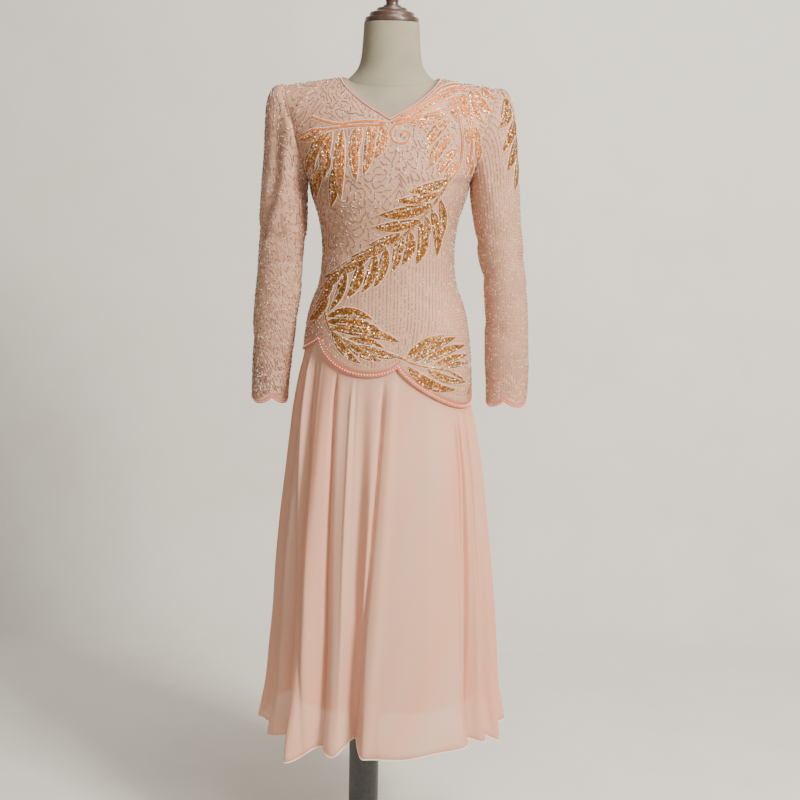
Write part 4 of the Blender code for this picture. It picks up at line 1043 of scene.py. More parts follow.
def new_group(name, inputs, outputs):
    """Node group whose sockets are given as name and kind."""
    group = bpy.data.node_groups.new(name, "ShaderNodeTree")
    for sockets, way in ((inputs, "INPUT"), (outputs, "OUTPUT")):
        for label, kind in sockets.items():
            group.interface.new_socket(name=label, in_out=way, socket_type="NodeSocket" + kind)
    return group, group.nodes.new("NodeGroupInput"), group.nodes.new("NodeGroupOutput")


def mix_colour(tree, factor, first, second):
    node = tree.nodes.new("ShaderNodeMix")
    node.data_type = "RGBA"
    connect(tree, factor, node.inputs["Factor"])
    for source, index in zip((first, second), MIX_COLOUR_INPUTS):
        connect(tree, source, node.inputs[index])
    return node.outputs[MIX_COLOUR_OUTPUT]


def maths(tree, operation, first, second):
    node = tree.nodes.new("ShaderNodeMath")
    node.operation = operation
    for value, index in ((first, 0), (second, 1)):
        if isinstance(value, (int, float)):
            node.inputs[index].default_value = value
        else:
            connect(tree, value, node.inputs[index])
    return node.outputs[0]


def share_between(tree, value, low, high):
    node = add_node(tree, "ShaderNodeMapRange")
    connect(tree, value, node.inputs["Value"])
    node.inputs["From Min"].default_value = low
    node.inputs["From Max"].default_value = high
    return node.outputs[0]


def scaled_noise(tree, vector, scale, detail):
    node = add_node(tree, "ShaderNodeTexNoise", Detail=detail)
    connect(tree, vector, node.inputs["Vector"])
    if isinstance(scale, (int, float)):
        node.inputs["Scale"].default_value = scale
    else:
        connect(tree, scale, node.inputs["Scale"])
    return node.outputs["Fac"]


def weave_group():
    """Plain weave with slubs: threads per metre in, colour, roughness and height out."""
    group, start, end = new_group(
        "weave",
        {"Vector": "Vector", "Colour": "Color", "Shade": "Color", "Threads": "Float",
         "Cloudiness": "Vector", "Roughness": "Float"},
        {"Colour": "Color", "Roughness": "Float", "Height": "Float"})
    split = add_node(group, "ShaderNodeSeparateXYZ")
    connect(group, start.outputs["Vector"], split.inputs[0])
    waves = []
    for axis in (0, 1):
        turn = maths(group, "MULTIPLY", split.outputs[axis], start.outputs["Threads"])
        waves.append(maths(group, "SINE", maths(group, "MULTIPLY", turn, 2 * math.pi), 0.0))
    woven = maths(group, "MULTIPLY", waves[0], waves[1])
    clouded = add_node(group, "ShaderNodeVectorMath", operation="MULTIPLY")
    connect(group, start.outputs["Vector"], clouded.inputs[0])
    connect(group, start.outputs["Cloudiness"], clouded.inputs[1])
    cloud = scaled_noise(group, clouded.outputs[0], 1.0, CLOUD_DETAIL)
    slub = scaled_noise(group, start.outputs["Vector"], SLUB_SCALE, SLUB_DETAIL)
    tone = maths(group, "ADD", cloud, maths(group, "MULTIPLY", slub, SLUB_TONE))
    mask = share_between(group, tone, *CLOUD_RANGE)
    colour = mix_colour(group, mask, start.outputs["Colour"], start.outputs["Shade"])
    connect(group, colour, end.inputs["Colour"])
    rough = maths(group, "ADD", start.outputs["Roughness"], maths(group, "MULTIPLY", slub, SLUB_ROUGHNESS))
    connect(group, rough, end.inputs["Roughness"])
    height = maths(group, "ADD", woven, maths(group, "MULTIPLY", slub, SLUB_HEIGHT))
    connect(group, height, end.inputs["Height"])
    return group


def sparkle_group():
    """Each bead or sequin takes its own tone of two colours, and a random few take the glint colour, a
    painted highlight.
    """
    group, start, end = new_group(
        "sparkle",
        {"Vector": "Vector", "Colour": "Color", "Shade": "Color", "Glint": "Color", "Cells": "Float",
         "Glints": "Float", "Roughness": "Float"},
        {"Colour": "Color", "Roughness": "Float"})
    cells = add_node(group, "ShaderNodeTexVoronoi")
    connect(group, start.outputs["Vector"], cells.inputs["Vector"])
    connect(group, start.outputs["Cells"], cells.inputs["Scale"])
    tone = add_node(group, "ShaderNodeSeparateColor")
    connect(group, cells.outputs["Color"], tone.inputs[0])
    colour = mix_colour(group, tone.outputs[0], start.outputs["Colour"], start.outputs["Shade"])
    # Painted highlight: cells above the share take the glint colour
    painted_highlight = maths(group, "GREATER_THAN", tone.outputs[1], start.outputs["Glints"])
    connect(group, mix_colour(group, painted_highlight, colour, start.outputs["Glint"]), end.inputs["Colour"])
    spread = maths(group, "MULTIPLY", tone.outputs[2], SPARKLE_SPREAD)
    connect(group, maths(group, "ADD", start.outputs["Roughness"], spread), end.inputs["Roughness"])
    return group


def wear_group():
    """Fine grain and faint marks of a hard surface, with a height for its bump."""
    group, start, end = new_group(
        "grain",
        {"Vector": "Vector", "Colour": "Color", "Shade": "Color", "Stretch": "Vector", "Grain": "Float",
         "Roughness": "Float"},
        {"Colour": "Color", "Roughness": "Float", "Height": "Float"})
    scaled = add_node(group, "ShaderNodeVectorMath", operation="MULTIPLY")
    connect(group, start.outputs["Vector"], scaled.inputs[0])
    connect(group, start.outputs["Stretch"], scaled.inputs[1])
    grain = scaled_noise(group, scaled.outputs[0], start.outputs["Grain"], GRAIN_DETAIL)
    marks = scaled_noise(group, start.outputs["Vector"], MARK_SCALE, MARK_DETAIL)
    tone = maths(group, "ADD", grain, maths(group, "MULTIPLY", marks, MARK_TONE))
    mask = share_between(group, tone, *MARK_RANGE)
    colour = mix_colour(group, mask, start.outputs["Colour"], start.outputs["Shade"])
    connect(group, colour, end.inputs["Colour"])
    rough = maths(group, "ADD", start.outputs["Roughness"], maths(group, "MULTIPLY", marks, MARK_ROUGHNESS))
    connect(group, rough, end.inputs["Roughness"])
    connect(group, grain, end.inputs["Height"])
    return group


def rgba(colour):
    return (*colour, 1.0)


class Paints:
    """Materials of the scene, each made once."""

    def __init__(self):
        self.weave = weave_group()
        self.sparkle = sparkle_group()
        self.grain = wear_group()

    def start(self, name, group, coordinates, values):
        paint = bpy.data.materials.new(name)
        paint.use_nodes = True
        tree = paint.node_tree
        shader = tree.nodes["Principled BSDF"]
        effect = tree.nodes.new("ShaderNodeGroup")
        effect.node_tree = group
        place = tree.nodes.new("ShaderNodeUVMap" if coordinates == "UV" else "ShaderNodeTexCoord")
        if coordinates == "UV":
            place.uv_map = "cloth"
        connect(tree, place.outputs["UV" if coordinates == "UV" else "Object"], effect.inputs["Vector"])
        for key, value in values.items():
            effect.inputs[key].default_value = value
        connect(tree, effect.outputs["Colour"], shader.inputs["Base Color"])
        connect(tree, effect.outputs["Roughness"], shader.inputs["Roughness"])
        return paint, tree, shader, effect

    def bump(self, tree, shader, effect, strength, distance):
        bump = add_node(tree, "ShaderNodeBump", Strength=strength, Distance=distance)
        connect(tree, effect.outputs["Height"], bump.inputs["Height"])
        connect(tree, bump.outputs["Normal"], shader.inputs["Normal"])

    def cloth(self, name, colour, shade, threads, roughness, alpha, cloudiness, strength):
        paint, tree, shader, effect = self.start(name, self.weave, "UV", {
            "Colour": rgba(colour), "Shade": rgba(shade), "Threads": threads, "Roughness": roughness,
            "Cloudiness": cloudiness})
        self.bump(tree, shader, effect, strength, WEAVE_DEPTH)
        shader.inputs["Alpha"].default_value = alpha
        return paint

    def add_salmon_and_shade_zones(self, paint, shade, zones):
        """Tone of a cloth that changes by zones round a closed piece: partly its own deeper tone, partly
        painted shade in the fold valleys.
        """
        tree = paint.node_tree
        effect = next(node for node in tree.nodes if node.type == "GROUP")
        place = add_node(tree, "ShaderNodeUVMap")
        place.uv_map = "turn"
        split = add_node(tree, "ShaderNodeSeparateXYZ")
        connect(tree, place.outputs["UV"], split.inputs[0])
        ramp = add_node(tree, "ShaderNodeValToRGB")
        ramp.color_ramp.interpolation = "EASE"
        for at, amount in zones:
            spot = (at + 180.0) / 360.0
            stops = ramp.color_ramp.elements
            stop = stops[0] if at == zones[0][0] else stops[-1] if at == zones[-1][0] else stops.new(spot)
            stop.position, stop.color = spot, (amount, amount, amount, 1.0)
        connect(tree, maths(tree, "FRACT", split.outputs[0], 0.0), ramp.inputs["Fac"])
        tone = add_node(tree, "ShaderNodeRGB")
        tone.outputs[0].default_value = rgba(shade)
        # Salmon mixed in by zone: partly the cloth's deeper tone, partly painted shade
        share = maths(tree, "MULTIPLY", ramp.outputs["Color"], SALMON_AND_SHADE_SHARE)
        mixed = mix_colour(tree, share, effect.outputs["Colour"], tone.outputs[0])
        connect(tree, mixed, tree.nodes["Principled BSDF"].inputs["Base Color"])

    def shiny(self, name, colour, shade, glint, cells, glints, roughness, metallic, coat):
        paint, _, shader, _ = self.start(name, self.sparkle, "OBJECT", {
            "Colour": rgba(colour), "Shade": rgba(shade), "Glint": rgba(glint), "Cells": cells,
            "Glints": glints, "Roughness": roughness})
        shader.inputs["Metallic"].default_value = metallic
        shader.inputs["Coat Weight"].default_value = coat
        return paint

    def hard(self, name, colour, shade, grain, stretch, roughness, metallic, coat, strength):
        paint, tree, shader, effect = self.start(name, self.grain, "OBJECT", {
            "Colour": rgba(colour), "Shade": rgba(shade), "Grain": grain, "Stretch": stretch,
            "Roughness": roughness})
        self.bump(tree, shader, effect, strength, GRAIN_DEPTH)
        shader.inputs["Metallic"].default_value = metallic
        shader.inputs["Coat Weight"].default_value = coat
        return paint

    def see_through_behind(self, paint):
        """A camera behind the surface looks through it."""
        tree = paint.node_tree
        rays, side = add_node(tree, "ShaderNodeLightPath"), add_node(tree, "ShaderNodeNewGeometry")
        behind = maths(tree, "MULTIPLY", rays.outputs["Is Camera Ray"], side.outputs["Backfacing"])
        clear, mix = add_node(tree, "ShaderNodeBsdfTransparent"), add_node(tree, "ShaderNodeMixShader")
        connect(tree, behind, mix.inputs[0])
        connect(tree, tree.nodes["Principled BSDF"].outputs[0], mix.inputs[1])
        connect(tree, clear.outputs[0], mix.inputs[2])
        connect(tree, mix.outputs[0], tree.nodes["Material Output"].inputs["Surface"])


def make_paints():
    make = Paints()
    paints = {key: make.cloth(*row) for key, row in CLOTHS.items()}
    paints.update({key: make.shiny(*row) for key, row in SHINY.items()})
    paints.update({key: make.hard(*row) for key, row in HARD.items()})
    make.add_salmon_and_shade_zones(paints["chiffon"], CHIFFON_SALMON, SALMON_AND_SHADE_ZONES)
    make.see_through_behind(paints["floor"])
    return paints


# Pieces
def finish_piece(obj, stands_for=(), body=BODY):
    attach(obj, body)
    if stands_for:
        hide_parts(*stands_for)
    return obj


def braid_top_behind():
    return float(hem_height(np.array(180.0))) + BRAID_WIDTH + SEAM_GAP


def zip_clearance(grid):
    """Half the width left open at the centre back, from the hem up."""
    low = braid_top_behind()
    start, full = low + (HIP_SEAM_Z - low) / 4, low + (HIP_SEAM_Z - low) / 2
    share = np.clip((grid[..., 2] - start) / (full - start), 0, 1)
    return HALF_SEAM + (BACK_EDGE - HALF_SEAM) * share


def creased_panel(back, crease_table, seed):
    grid, out = body_grid(back, PANEL_COLUMNS, PANEL_ROWS)
    s, t = arc_lengths(grid)
    lift = creases(s, t, crease_table) + ripple(s, t, BODICE_RIPPLE, BODICE_UNEVEN, seed)
    return grid + out * (lift * edge_fade(grid))[..., None], out


def add_bodice(paints):
    """Shells of the front and the two backs. Returns their grids for the beads."""
    front, front_out = creased_panel(False, FRONT_CREASES, FRONT_SEED)
    kept = {"front": (front, front_out)}
    obj = shell("bodice_front_cloth", front, [paints["silk"]])
    finish_piece(obj, ["bodice_front"])
    back, back_out = creased_panel(True, BACK_CREASES, BACK_SEED)
    middle = back.shape[1] // 2
    reach = zip_clearance(back)
    for name, keep, sign in (("left", slice(0, middle + 1), -1), ("right", slice(middle, None), 1)):
        half = back[:, keep].copy()
        wide = np.abs(half[..., 0]).max(axis=1, keepdims=True)
        half[..., 0] = sign * (reach[:, keep] + np.abs(half[..., 0]) * (1 - reach[:, keep] / wide))
        kept["back_" + name] = (half, back_out[:, keep])
        obj = shell("bodice_back_%s_cloth" % name, half, [paints["silk"]], flip=True)
        finish_piece(obj, ["bodice_back_" + name])
    return kept


def edge_fade(grid):
    """Creases run out towards the edges of a panel, so its seams stay shut."""
    rows, count = grid.shape[:2]
    r = np.minimum(np.arange(rows), np.arange(rows)[::-1])[:, None]
    c = np.minimum(np.arange(count), np.arange(count)[::-1])[None, :]
    return ease(r / FADE_STEPS) * ease(c / FADE_STEPS)


def sleeve_grid(table, side, count, steps):
    keys = np.arange(len(table))
    curves = [Column(table, k, keys) for k in range(len(table[0]))]
    at = np.linspace(0, keys[-1], steps * keys[-1] + 1)
    top_z, top_x, low_z, low_x, front, back = [curve(at) for curve in curves]
    a = 2 * math.pi * np.arange(count) / count
    cos, sin = np.cos(a)[None], np.sin(a)[None]
    x = ((top_x + low_x) / 2)[:, None] + ((top_x - low_x) / 2)[:, None] * cos
    z = ((top_z + low_z) / 2)[:, None] + ((top_z - low_z) / 2)[:, None] * cos
    y = np.where(sin > 0, back[:, None], front[:, None]) * sin
    grid = np.stack([x, y, z], axis=-1)
    plane = unit(np.array((SHOULDER_END_Z - ARMPIT_Z, 0.0, -(SHOULDER_END_X - BODY_TABLE[-1][1]))))
    grid = grid + plane * (SEAM_GAP * np.clip(1 - at, 0, 1))[:, None, None]
    drop = CUFF_DROP * np.abs(np.sin(CUFF_SCALLOPS / 2 * a + CUFF_TURN)) ** SCALLOP_ROUND
    grid[..., 2] -= drop[None] * np.clip(at - keys[-2], 0, 1)[:, None]
    around = np.roll(grid, -1, axis=1) - np.roll(grid, 1, axis=1)
    out = unit(np.cross(around, np.gradient(grid, axis=0)))
    if ((grid - grid.mean(axis=1, keepdims=True)) * out).sum() < 0:
        out = -out
    mirror = np.array((side, 1.0, 1.0))
    return grid * mirror, out * mirror


def add_sleeve(name, table, side, crease_table, paints):
    grid, out = sleeve_grid(table, side, SLEEVE_COLUMNS, SLEEVE_STEPS)
    share = np.linspace(0, 1, SLEEVE_COLUMNS, endpoint=False)[None, :] * 360.0 + np.zeros(grid.shape[:2])
    t = grid[..., 2]
    girth = math.radians(1.0) * SLEEVE_RADIUS
    lift = np.zeros(t.shape)
    for at, z, length, width, degrees, depth in crease_table:
        lift += trough(turn_apart(share, at) * girth, t, 0.0, z, length, width, degrees, depth * MM)
    fade = ease(np.minimum(np.arange(len(grid)), np.arange(len(grid))[::-1]) / FADE_STEPS)[:, None]
    grid = grid + out * (lift * fade)[..., None]
    flip = side < 0
    obj = shell("sleeve_%s_cloth" % name, grid, [paints["silk"]], closed=True, flip=not flip)
    finish_piece(obj, ["sleeve_" + name])
    return grid, out


def skirt_size(z, column):
    joins = SKIRT[-1][0]
    body = {1: half_width(z), 2: half_width(z), 3: DEPTH[False](z), 4: DEPTH[True](z)}[column]
    share = ease((z - joins) / SKIRT_JOIN)
    slack = SKIRT_SLACK * (1 - ease((z - joins) / (SKIRT_TOP_Z - joins)))
    return SKIRT_SIZE[column](z) * (1 - share) + (body - SKIRT_INSET - slack) * share


def skirt_frame(degrees, z):
    a = np.radians(degrees)
    wide = np.where(np.sin(a) > 0, skirt_size(z, 2), skirt_size(z, 1))
    deep = np.where(np.cos(a) > 0, skirt_size(z, 3), skirt_size(z, 4))
    reach = boxy_sine(a) / (1 - BOX_SHARE)
    point = np.stack([wide * reach, -deep * np.cos(a), z + 0 * a], axis=-1)
    outward = np.stack([point[..., 0] / wide ** 2, point[..., 1] / deep ** 2, 0 * wide], axis=-1)
    return point, unit(outward)


def fold_columns(steps):
    last = FOLDS[0]
    loop = list(FOLDS) + [(last[0] + 360, last[1], last[2])]
    listed = []
    for start, end in zip(loop, loop[1:]):
        for f in np.arange(steps) / steps:
            share = float(ease(f))
            push, lift = (start[k] + (end[k] - start[k]) * share for k in (1, 2))
            listed.append((start[0] + (end[0] - start[0]) * f, push * MM, lift * MM))
    return np.array(listed)


def add_skirt(paints):
    degrees, push, lift = fold_columns(FOLD_STEPS).T
    share = (np.arange(SKIRT_STEPS + 1) / SKIRT_STEPS)[:, None]
    low = SKIRT_HEM_Z + lift
    z = low + (SKIRT_TOP_Z - low) * share
    point, outward = skirt_frame(degrees[None] + 0 * z, z)
    top = hem_height(degrees)
    grow = np.clip((top - z) / (top - SKIRT_HEM_Z), 0, FOLD_REACH) ** FOLD_POWER
    small = np.zeros(z.shape)
    for top_at, hem_at, width, height in SMALL_FOLDS:
        at = hem_at + (top_at - hem_at) * share
        small += height * MM * np.exp(-(turn_apart(degrees[None], at) / width) ** 2)
    small *= ease((top - z) / SMALL_EASE)
    grid = point + outward * (push * grow + small)[..., None]
    obj = shell("skirt_chiffon_cloth", grid, [paints["chiffon"]], closed=True,
                turns=(degrees + 180.0) / 360.0)
    finish_piece(obj, ["skirt_chiffon"])
    hem = tube("skirt_rolled_hem", grid[0], outward[0], (HEM_ROLL, HEM_ROLL), FLAT_SIDES, [paints["hem"]])
    finish_piece(hem)
    return grid


def add_lining(paints):
    share = (np.arange(LINING_STEPS + 1) / LINING_STEPS)[:, None]
    z = LINING_HEM_Z + (LINING_TOP_Z - LINING_HEM_Z) * share
    degrees = (360.0 * np.arange(LINING_COLUMNS) / LINING_COLUMNS)[None]
    depth = (LINING_TOP_Z - z) / (LINING_TOP_Z - LINING_HEM_Z)
    inset = LINING_TOP_INSET + (LINING_HEM_INSET - LINING_TOP_INSET) * depth ** LINING_POWER
    inset = inset + LINING_SLACK * ease((LINING_TOP_Z - z) / LINING_SLACK_DROP)
    point, outward = skirt_frame(degrees + 0 * z, z + 0 * degrees)
    soft = LINING_WAVE * np.sin(np.radians(degrees) * LINING_WAVES + 2 * depth) * depth
    grid = point - outward * (inset + soft)[..., None]
    obj = shell("skirt_lining_cloth", grid, [paints["lining"]], closed=True)
    finish_piece(obj, ["skirt_lining"])


# Corded and beaded edges
def hem_line(count):
    """Middle of the bodice's hem braid, all round from the left side over the front."""
    w = np.linspace(-1, 1, count)
    z = hem_height(column_degrees(w, False)) + BRAID_WIDTH / 2
    front, front_out = body_point(w, z, False), body_normals(w, z, False, z + 1)
    z = hem_height(column_degrees(w, True)) + BRAID_WIDTH / 2
    back, back_out = body_point(w, z, True), body_normals(w, z, True, z + 1)
    points = np.concatenate([front, back[::-1][1:-1]])
    return points, np.concatenate([front_out, back_out[::-1][1:-1]])


def cuff_line(grid, out):
    edge = grid[-1] - np.array((0, 0, CUFF_BRAID_WIDTH / 2 + SEAM_GAP))
    return edge, unit(out[-1] * (1, 1, 0))


def even_line(points, outward, gap, closed=True):
    """The same line with points an even gap apart."""
    loop = np.concatenate([points, points[:1]]) if closed else points
    outs = np.concatenate([outward, outward[:1]]) if closed else outward
    s = np.concatenate([[0.0], np.cumsum(np.linalg.norm(np.diff(loop, axis=0), axis=1))])
    count = max(FEWEST_POINTS, int(s[-1] / gap))
    at = np.linspace(0, s[-1], count, endpoint=not closed)
    place = np.stack([np.interp(at, s, loop[:, k]) for k in range(3)], axis=1)
    way = np.stack([np.interp(at, s, outs[:, k]) for k in range(3)], axis=1)
    return place, unit(way)


def beaded_braid(name, points, outward, width, slot, stands_for, paints, closed=True):
    """Two twisted cords with rows of small pearls between them."""
    points, outward = even_line(points, outward, BRAID_STEP, closed)
    side = unit(np.cross(line_way(points, closed), outward))
    radius = width * CORD_SHARE / 2
    made = []
    for label, sign in (("upper", 1), ("lower", -1)):
        line = points + side * sign * (width / 2 - radius)
        obj = tube("%s_%s_cord" % (name, label), line, outward, (radius, radius), CORD_SIDES,
                   [paints["cord"]], closed, CORD_TWIST)
        made.append(finish_piece(obj, stands_for if label == "upper" else ()))
    bed = tube(name + "_bed", points, outward, (width / 2 - radius, radius * BED_SHARE), FLAT_SIDES,
               [paints["cord"]], closed)
    made.append(finish_piece(bed))
    pearl = (width / 2 - radius) * PEARL_SHARE / 2
    place, way = even_line(points, outward, 2 * pearl * PEARL_GAP, closed)
    place = place + way * (radius * BED_SHARE + pearl * PEARL_OUT)
    obj = many(name + "_pearls", bead_shape(), place, np.roll(place, -1, axis=0) - place, way,
               (pearl, pearl, pearl), [paints["pearl"]])
    made.append(finish_piece(obj))
    return made


def neck_line(count):
    """Edge of the neck opening, from the centre back over the right shoulder to the front and round."""
    w = np.linspace(-NECK_COLUMN_AT, NECK_COLUMN_AT, count)
    front_z, back_z = column_top(w, False), column_top(w, True)
    front, front_out = body_point(w, front_z, False), body_normals(w, front_z, False, front_z)
    back, back_out = body_point(w, back_z, True), body_normals(w, back_z, True, back_z)
    half = count // 2
    points = np.concatenate([back[:half][::-1], front[1:-1], back[half + 1:][::-1]])
    outs = np.concatenate([back_out[:half][::-1], front_out[1:-1], back_out[half + 1:][::-1]])
    points[0, 0], points[-1, 0] = -BACK_EDGE, BACK_EDGE
    return points, outs


def add_neck_edge(paints):
    points, outs = neck_line(NECK_POINTS)
    points, outs = even_line(points, outs, BRAID_STEP, closed=False)
    side = unit(np.cross(outs, np.gradient(points, axis=0)))
    middle = points + side * (NECK_CORD + SEAM_GAP) + outs * NECK_CORD_LIFT
    obj = tube("neck_edge_cord", middle, outs, (NECK_CORD, NECK_CORD), CORD_SIDES, [paints["cord"]], False,
               CORD_TWIST)
    finish_piece(obj, ["neck_cord"])
    place, way = even_line(middle, outs, NECK_PEARL_GAP, closed=False)
    lean = unit(np.cross(np.gradient(place, axis=0), way))
    place = place + way * NECK_CORD * NECK_PEARL_OUT + lean * NECK_CORD * NECK_PEARL_OUT
    pearls = many("neck_edge_pearls", bead_shape(), place, np.gradient(place, axis=0), way,
                  (NECK_PEARL, NECK_PEARL, NECK_PEARL), [paints["pearl"]])
    finish_piece(pearls)


# Leaf sprays of sequins
def smooth_line(points, count):
    points = np.array(points, float)
    s = np.concatenate([[0.0], np.cumsum(np.linalg.norm(np.diff(points, axis=0), axis=1))])
    at = np.linspace(0, s[-1], count)
    slopes = np.gradient(points, s, axis=0)
    i = np.clip(np.searchsorted(s, at, side="right") - 1, 0, len(s) - 2)
    width = (s[i + 1] - s[i])[:, None]
    f = (at - s[i])[:, None] / width
    return cubic(f, width, points[i], points[i + 1], slopes[i], slopes[i + 1])


def on_front(ground, line):
    """Places and outward directions of a line drawn across and up, laid on the front of the cloth."""
    found = [ground.front(x * MM, z * MM) for x, z in line]
    return np.array([place for place, _ in found]), np.array([out for _, out in found])


def leaf_middle(foot_x, foot_z, tip_x, tip_z, bow):
    """Bowed middle line of a leaf, across and up in mm."""
    foot, tip = np.array((foot_x, foot_z), float), np.array((tip_x, tip_z), float)
    way = tip - foot
    side = np.array((-way[1], way[0])) / np.linalg.norm(way)
    share = np.linspace(0, 1, LEAF_POINTS)[:, None]
    return foot + way * share + side * (4 * bow * share * (1 - share))


def leaf_half(share, width):
    return (width / 2 + OUTLINE_ROOM) * np.sin(math.pi * share ** LEAF_SWELL) ** LEAF_ROUND


def leaf_parts(middle, width):
    """Places of a leaf in its flat: filling, row of large sequins, outline, and rib."""
    length = np.linalg.norm(np.diff(middle, axis=0), axis=1).sum()
    way = np.gradient(middle, axis=0)
    way = way / np.linalg.norm(way, axis=1, keepdims=True)
    side = np.stack([-way[:, 1], way[:, 0]], axis=1)
    share = np.linspace(0, 1, len(middle))

    def at(f, off):
        spot = [np.interp(f, share, middle[:, k]) + np.interp(f, share, side[:, k]) * off for k in (0, 1)]
        return np.array(spot)

    fill, opals = [], []
    rows = max(3, int(length / SEQUIN_GAP))
    for row in range(1, rows):
        f = row / rows
        half = leaf_half(f, width) - SEQUIN_EDGE
        count = int(2 * half / SEQUIN_GAP)
        for k in range(count + 1):
            fill.append(at(f, -half + (k + 0.5 * (row % 2)) * SEQUIN_GAP))
    opal_rows = max(3, int(length / OPAL_GAP))
    for row in range(1, opal_rows):
        f = row / opal_rows
        if OPAL_FROM < f < OPAL_TO:
            opals.append(at(f, -leaf_half(f, width) * OPAL_SIDE))
    edge = []
    for sign in (1, -1):
        count = int(length / EDGE_BEAD_GAP)
        edge += [at(row / count, sign * leaf_half(row / count, width)) for row in range(count + 1)]
    rib = [at(f, leaf_half(f, width) * RIB_SIDE) for f in np.linspace(RIB_FROM, RIB_TO, RIB_POINTS)]
    bed = [[at(f, leaf_half(f, width) * side) for side in BED_SIDES] for f in np.linspace(0, 1, BED_ROWS)]
    return fill, opals, edge, rib, bed


def flat_cord(name, ground, line, half_wide, paint):
    places, outs = on_front(ground, line)
    return tube(name, places + outs * CORD_THICK, outs, (half_wide, CORD_THICK), FLAT_SIDES, [paint], False)


def leaf_bed(name, ground, bed, paint):
    """Filled ground of one leaf, domed a little over the cloth."""
    flat = np.array(bed).reshape(-1, 2)
    places, outs = on_front(ground, flat)
    dome = np.tile(BED_DOME * np.cos(np.array(BED_SIDES) * math.pi / 2), len(bed)) + BED_LIFT
    grid = (places + outs * dome[:, None]).reshape(len(bed), len(BED_SIDES), 3)
    return shell(name, grid, [paint], flip=True)


def add_spray(name, ground, style, strands, leaves, paints, heap):
    """Strands and ribs of one spray. heap gathers the beads and sequins of all sprays by kind."""
    cords = []
    for index, strand in enumerate(strands):
        line = smooth_line(strand, STRAND_POINTS)
        paint = paints["orange" if style == "orange" else "stem"]
        cords.append(flat_cord("%s_strand_%d" % (name, index), ground, line, STRAND_HALF, paint))
        for sign in (1, -1):
            way = np.gradient(line, axis=0)
            side = np.stack([-way[:, 1], way[:, 0]], axis=1) / np.linalg.norm(way, axis=1, keepdims=True)
            beside = line + side * sign * STRAND_EDGE / MM
            heap["edge"].extend(smooth_line(beside, int(len(line) * STRAND_BEADS)))
    for index, (foot_x, foot_z, tip_x, tip_z, width, bow) in enumerate(leaves):
        middle = leaf_middle(foot_x, foot_z, tip_x, tip_z, bow)
        fill, opals, edge, rib, bed = leaf_parts(middle, width)
        cords.append(leaf_bed("%s_bed_%d" % (name, index), ground, bed, paints[style + "_bed"]))
        heap[style].extend(fill)
        heap["opal"].extend(opals)
        heap["edge"].extend(edge)
        if style == "orange":
            cords.append(flat_cord("%s_rib_%d" % (name, index), ground, rib, RIB_HALF, paints["orange"]))
    join(name + "_cords", cords)


def join(name, objects):
    """Several pieces made one, which rides with the dress."""
    make_active(objects[0])
    for obj in objects[1:]:
        obj.select_set(True)
    if len(objects) > 1:
        bpy.ops.object.join()
    objects[0].name = name
    objects[0].data.name = name
    return finish_piece(objects[0])


def add_sequins(name, ground, spots, size, paint, seed):
    rng = np.random.default_rng(seed)
    places, outs = on_front(ground, spots)
    tilt = unit(outs + rng.normal(0, SEQUIN_TILT, outs.shape))
    ways = np.cross(outs, rng.normal(0, 1, outs.shape))
    sizes = np.array(size) * rng.uniform(SEQUIN_SMALL, 1.0, (len(places), 1))
    obj = many(name, sequin_shape(), places + outs * SEQUIN_LIFT, ways, tilt, sizes, [paint], False)
    finish_piece(obj)
    return places


def add_edge_beads(ground, spots, paints):
    places, outs = on_front(ground, spots)
    obj = lay_beads("leaf_edge_beads", places, outs, np.roll(places, -1, axis=0) - places, EDGE_BEAD,
                    [paints["pale"]])
    finish_piece(obj)
    return places


def add_sprays(ground, paints):
    heap = {"gold": [], "orange": [], "opal": [], "edge": []}
    for name, style, strands, leaves in SPRAYS:
        add_spray(name, ground, style, strands, leaves, paints, heap)
    placed = [add_sequins(kind + "_sequins", ground, heap[kind], size, paints[paint], seed)
              for kind, size, paint, seed in SEQUIN_KINDS]
    placed.append(add_edge_beads(ground, heap["edge"], paints))
    tree = KDTree(sum(len(p) for p in placed))
    for index, place in enumerate(np.concatenate(placed)):
        tree.insert(place, index)
    tree.balance()
    return tree


def add_hanging_beads(ground, paints):
    """Short strings of beads at the right end of the hem."""
    places = []
    for x, z, drop in BEAD_STRINGS:
        start, _ = ground.front(x * MM, z * MM)
        count = int(drop / HANGING_GAP)
        places += [start + np.array((0.0, -HANGING_OUT, -k * HANGING_GAP * MM)) for k in range(count)]
    places = np.array(places)
    outs = np.tile((0.0, -1.0, 0.0), (len(places), 1))
    ways = np.tile((0.0, 0.0, 1.0), (len(places), 1))
    finish_piece(many("hanging_beads", bead_shape(), places, ways, outs, HANGING_BEAD, [paints["gold"]]))


def clear_of(tree, places):
    return np.array([tree.find(p)[2] > SPRAY_CLEARANCE for p in places])


def under_diagonal(grid):
    """Part of the bodice to the right of and under the main spray."""
    x, z = grid[..., 0], grid[..., 2]
    line = np.array(MAIN_STEM) * MM
    return z < np.interp(x, line[:, 0], line[:, 1], right=ROWS_TOP_Z)


def dense(grid, out, factor):
    """Grid with points put in between, for beads that lie closer than its own."""
    rows, count = grid.shape[:2]
    r = np.linspace(0, rows - 1, (rows - 1) * factor + 1)
    c = np.linspace(0, count - 1, (count - 1) * factor + 1)
    r0, c0 = np.minimum(r.astype(int), rows - 2), np.minimum(c.astype(int), count - 2)
    fr, fc = (r - r0)[:, None, None], (c - c0)[None, :, None]

    def between(values):
        low = values[r0][:, c0] * (1 - fc) + values[r0][:, c0 + 1] * fc
        high = values[r0 + 1][:, c0] * (1 - fc) + values[r0 + 1][:, c0 + 1] * fc
        return low * (1 - fr) + high * fr
    return between(grid), unit(between(out))


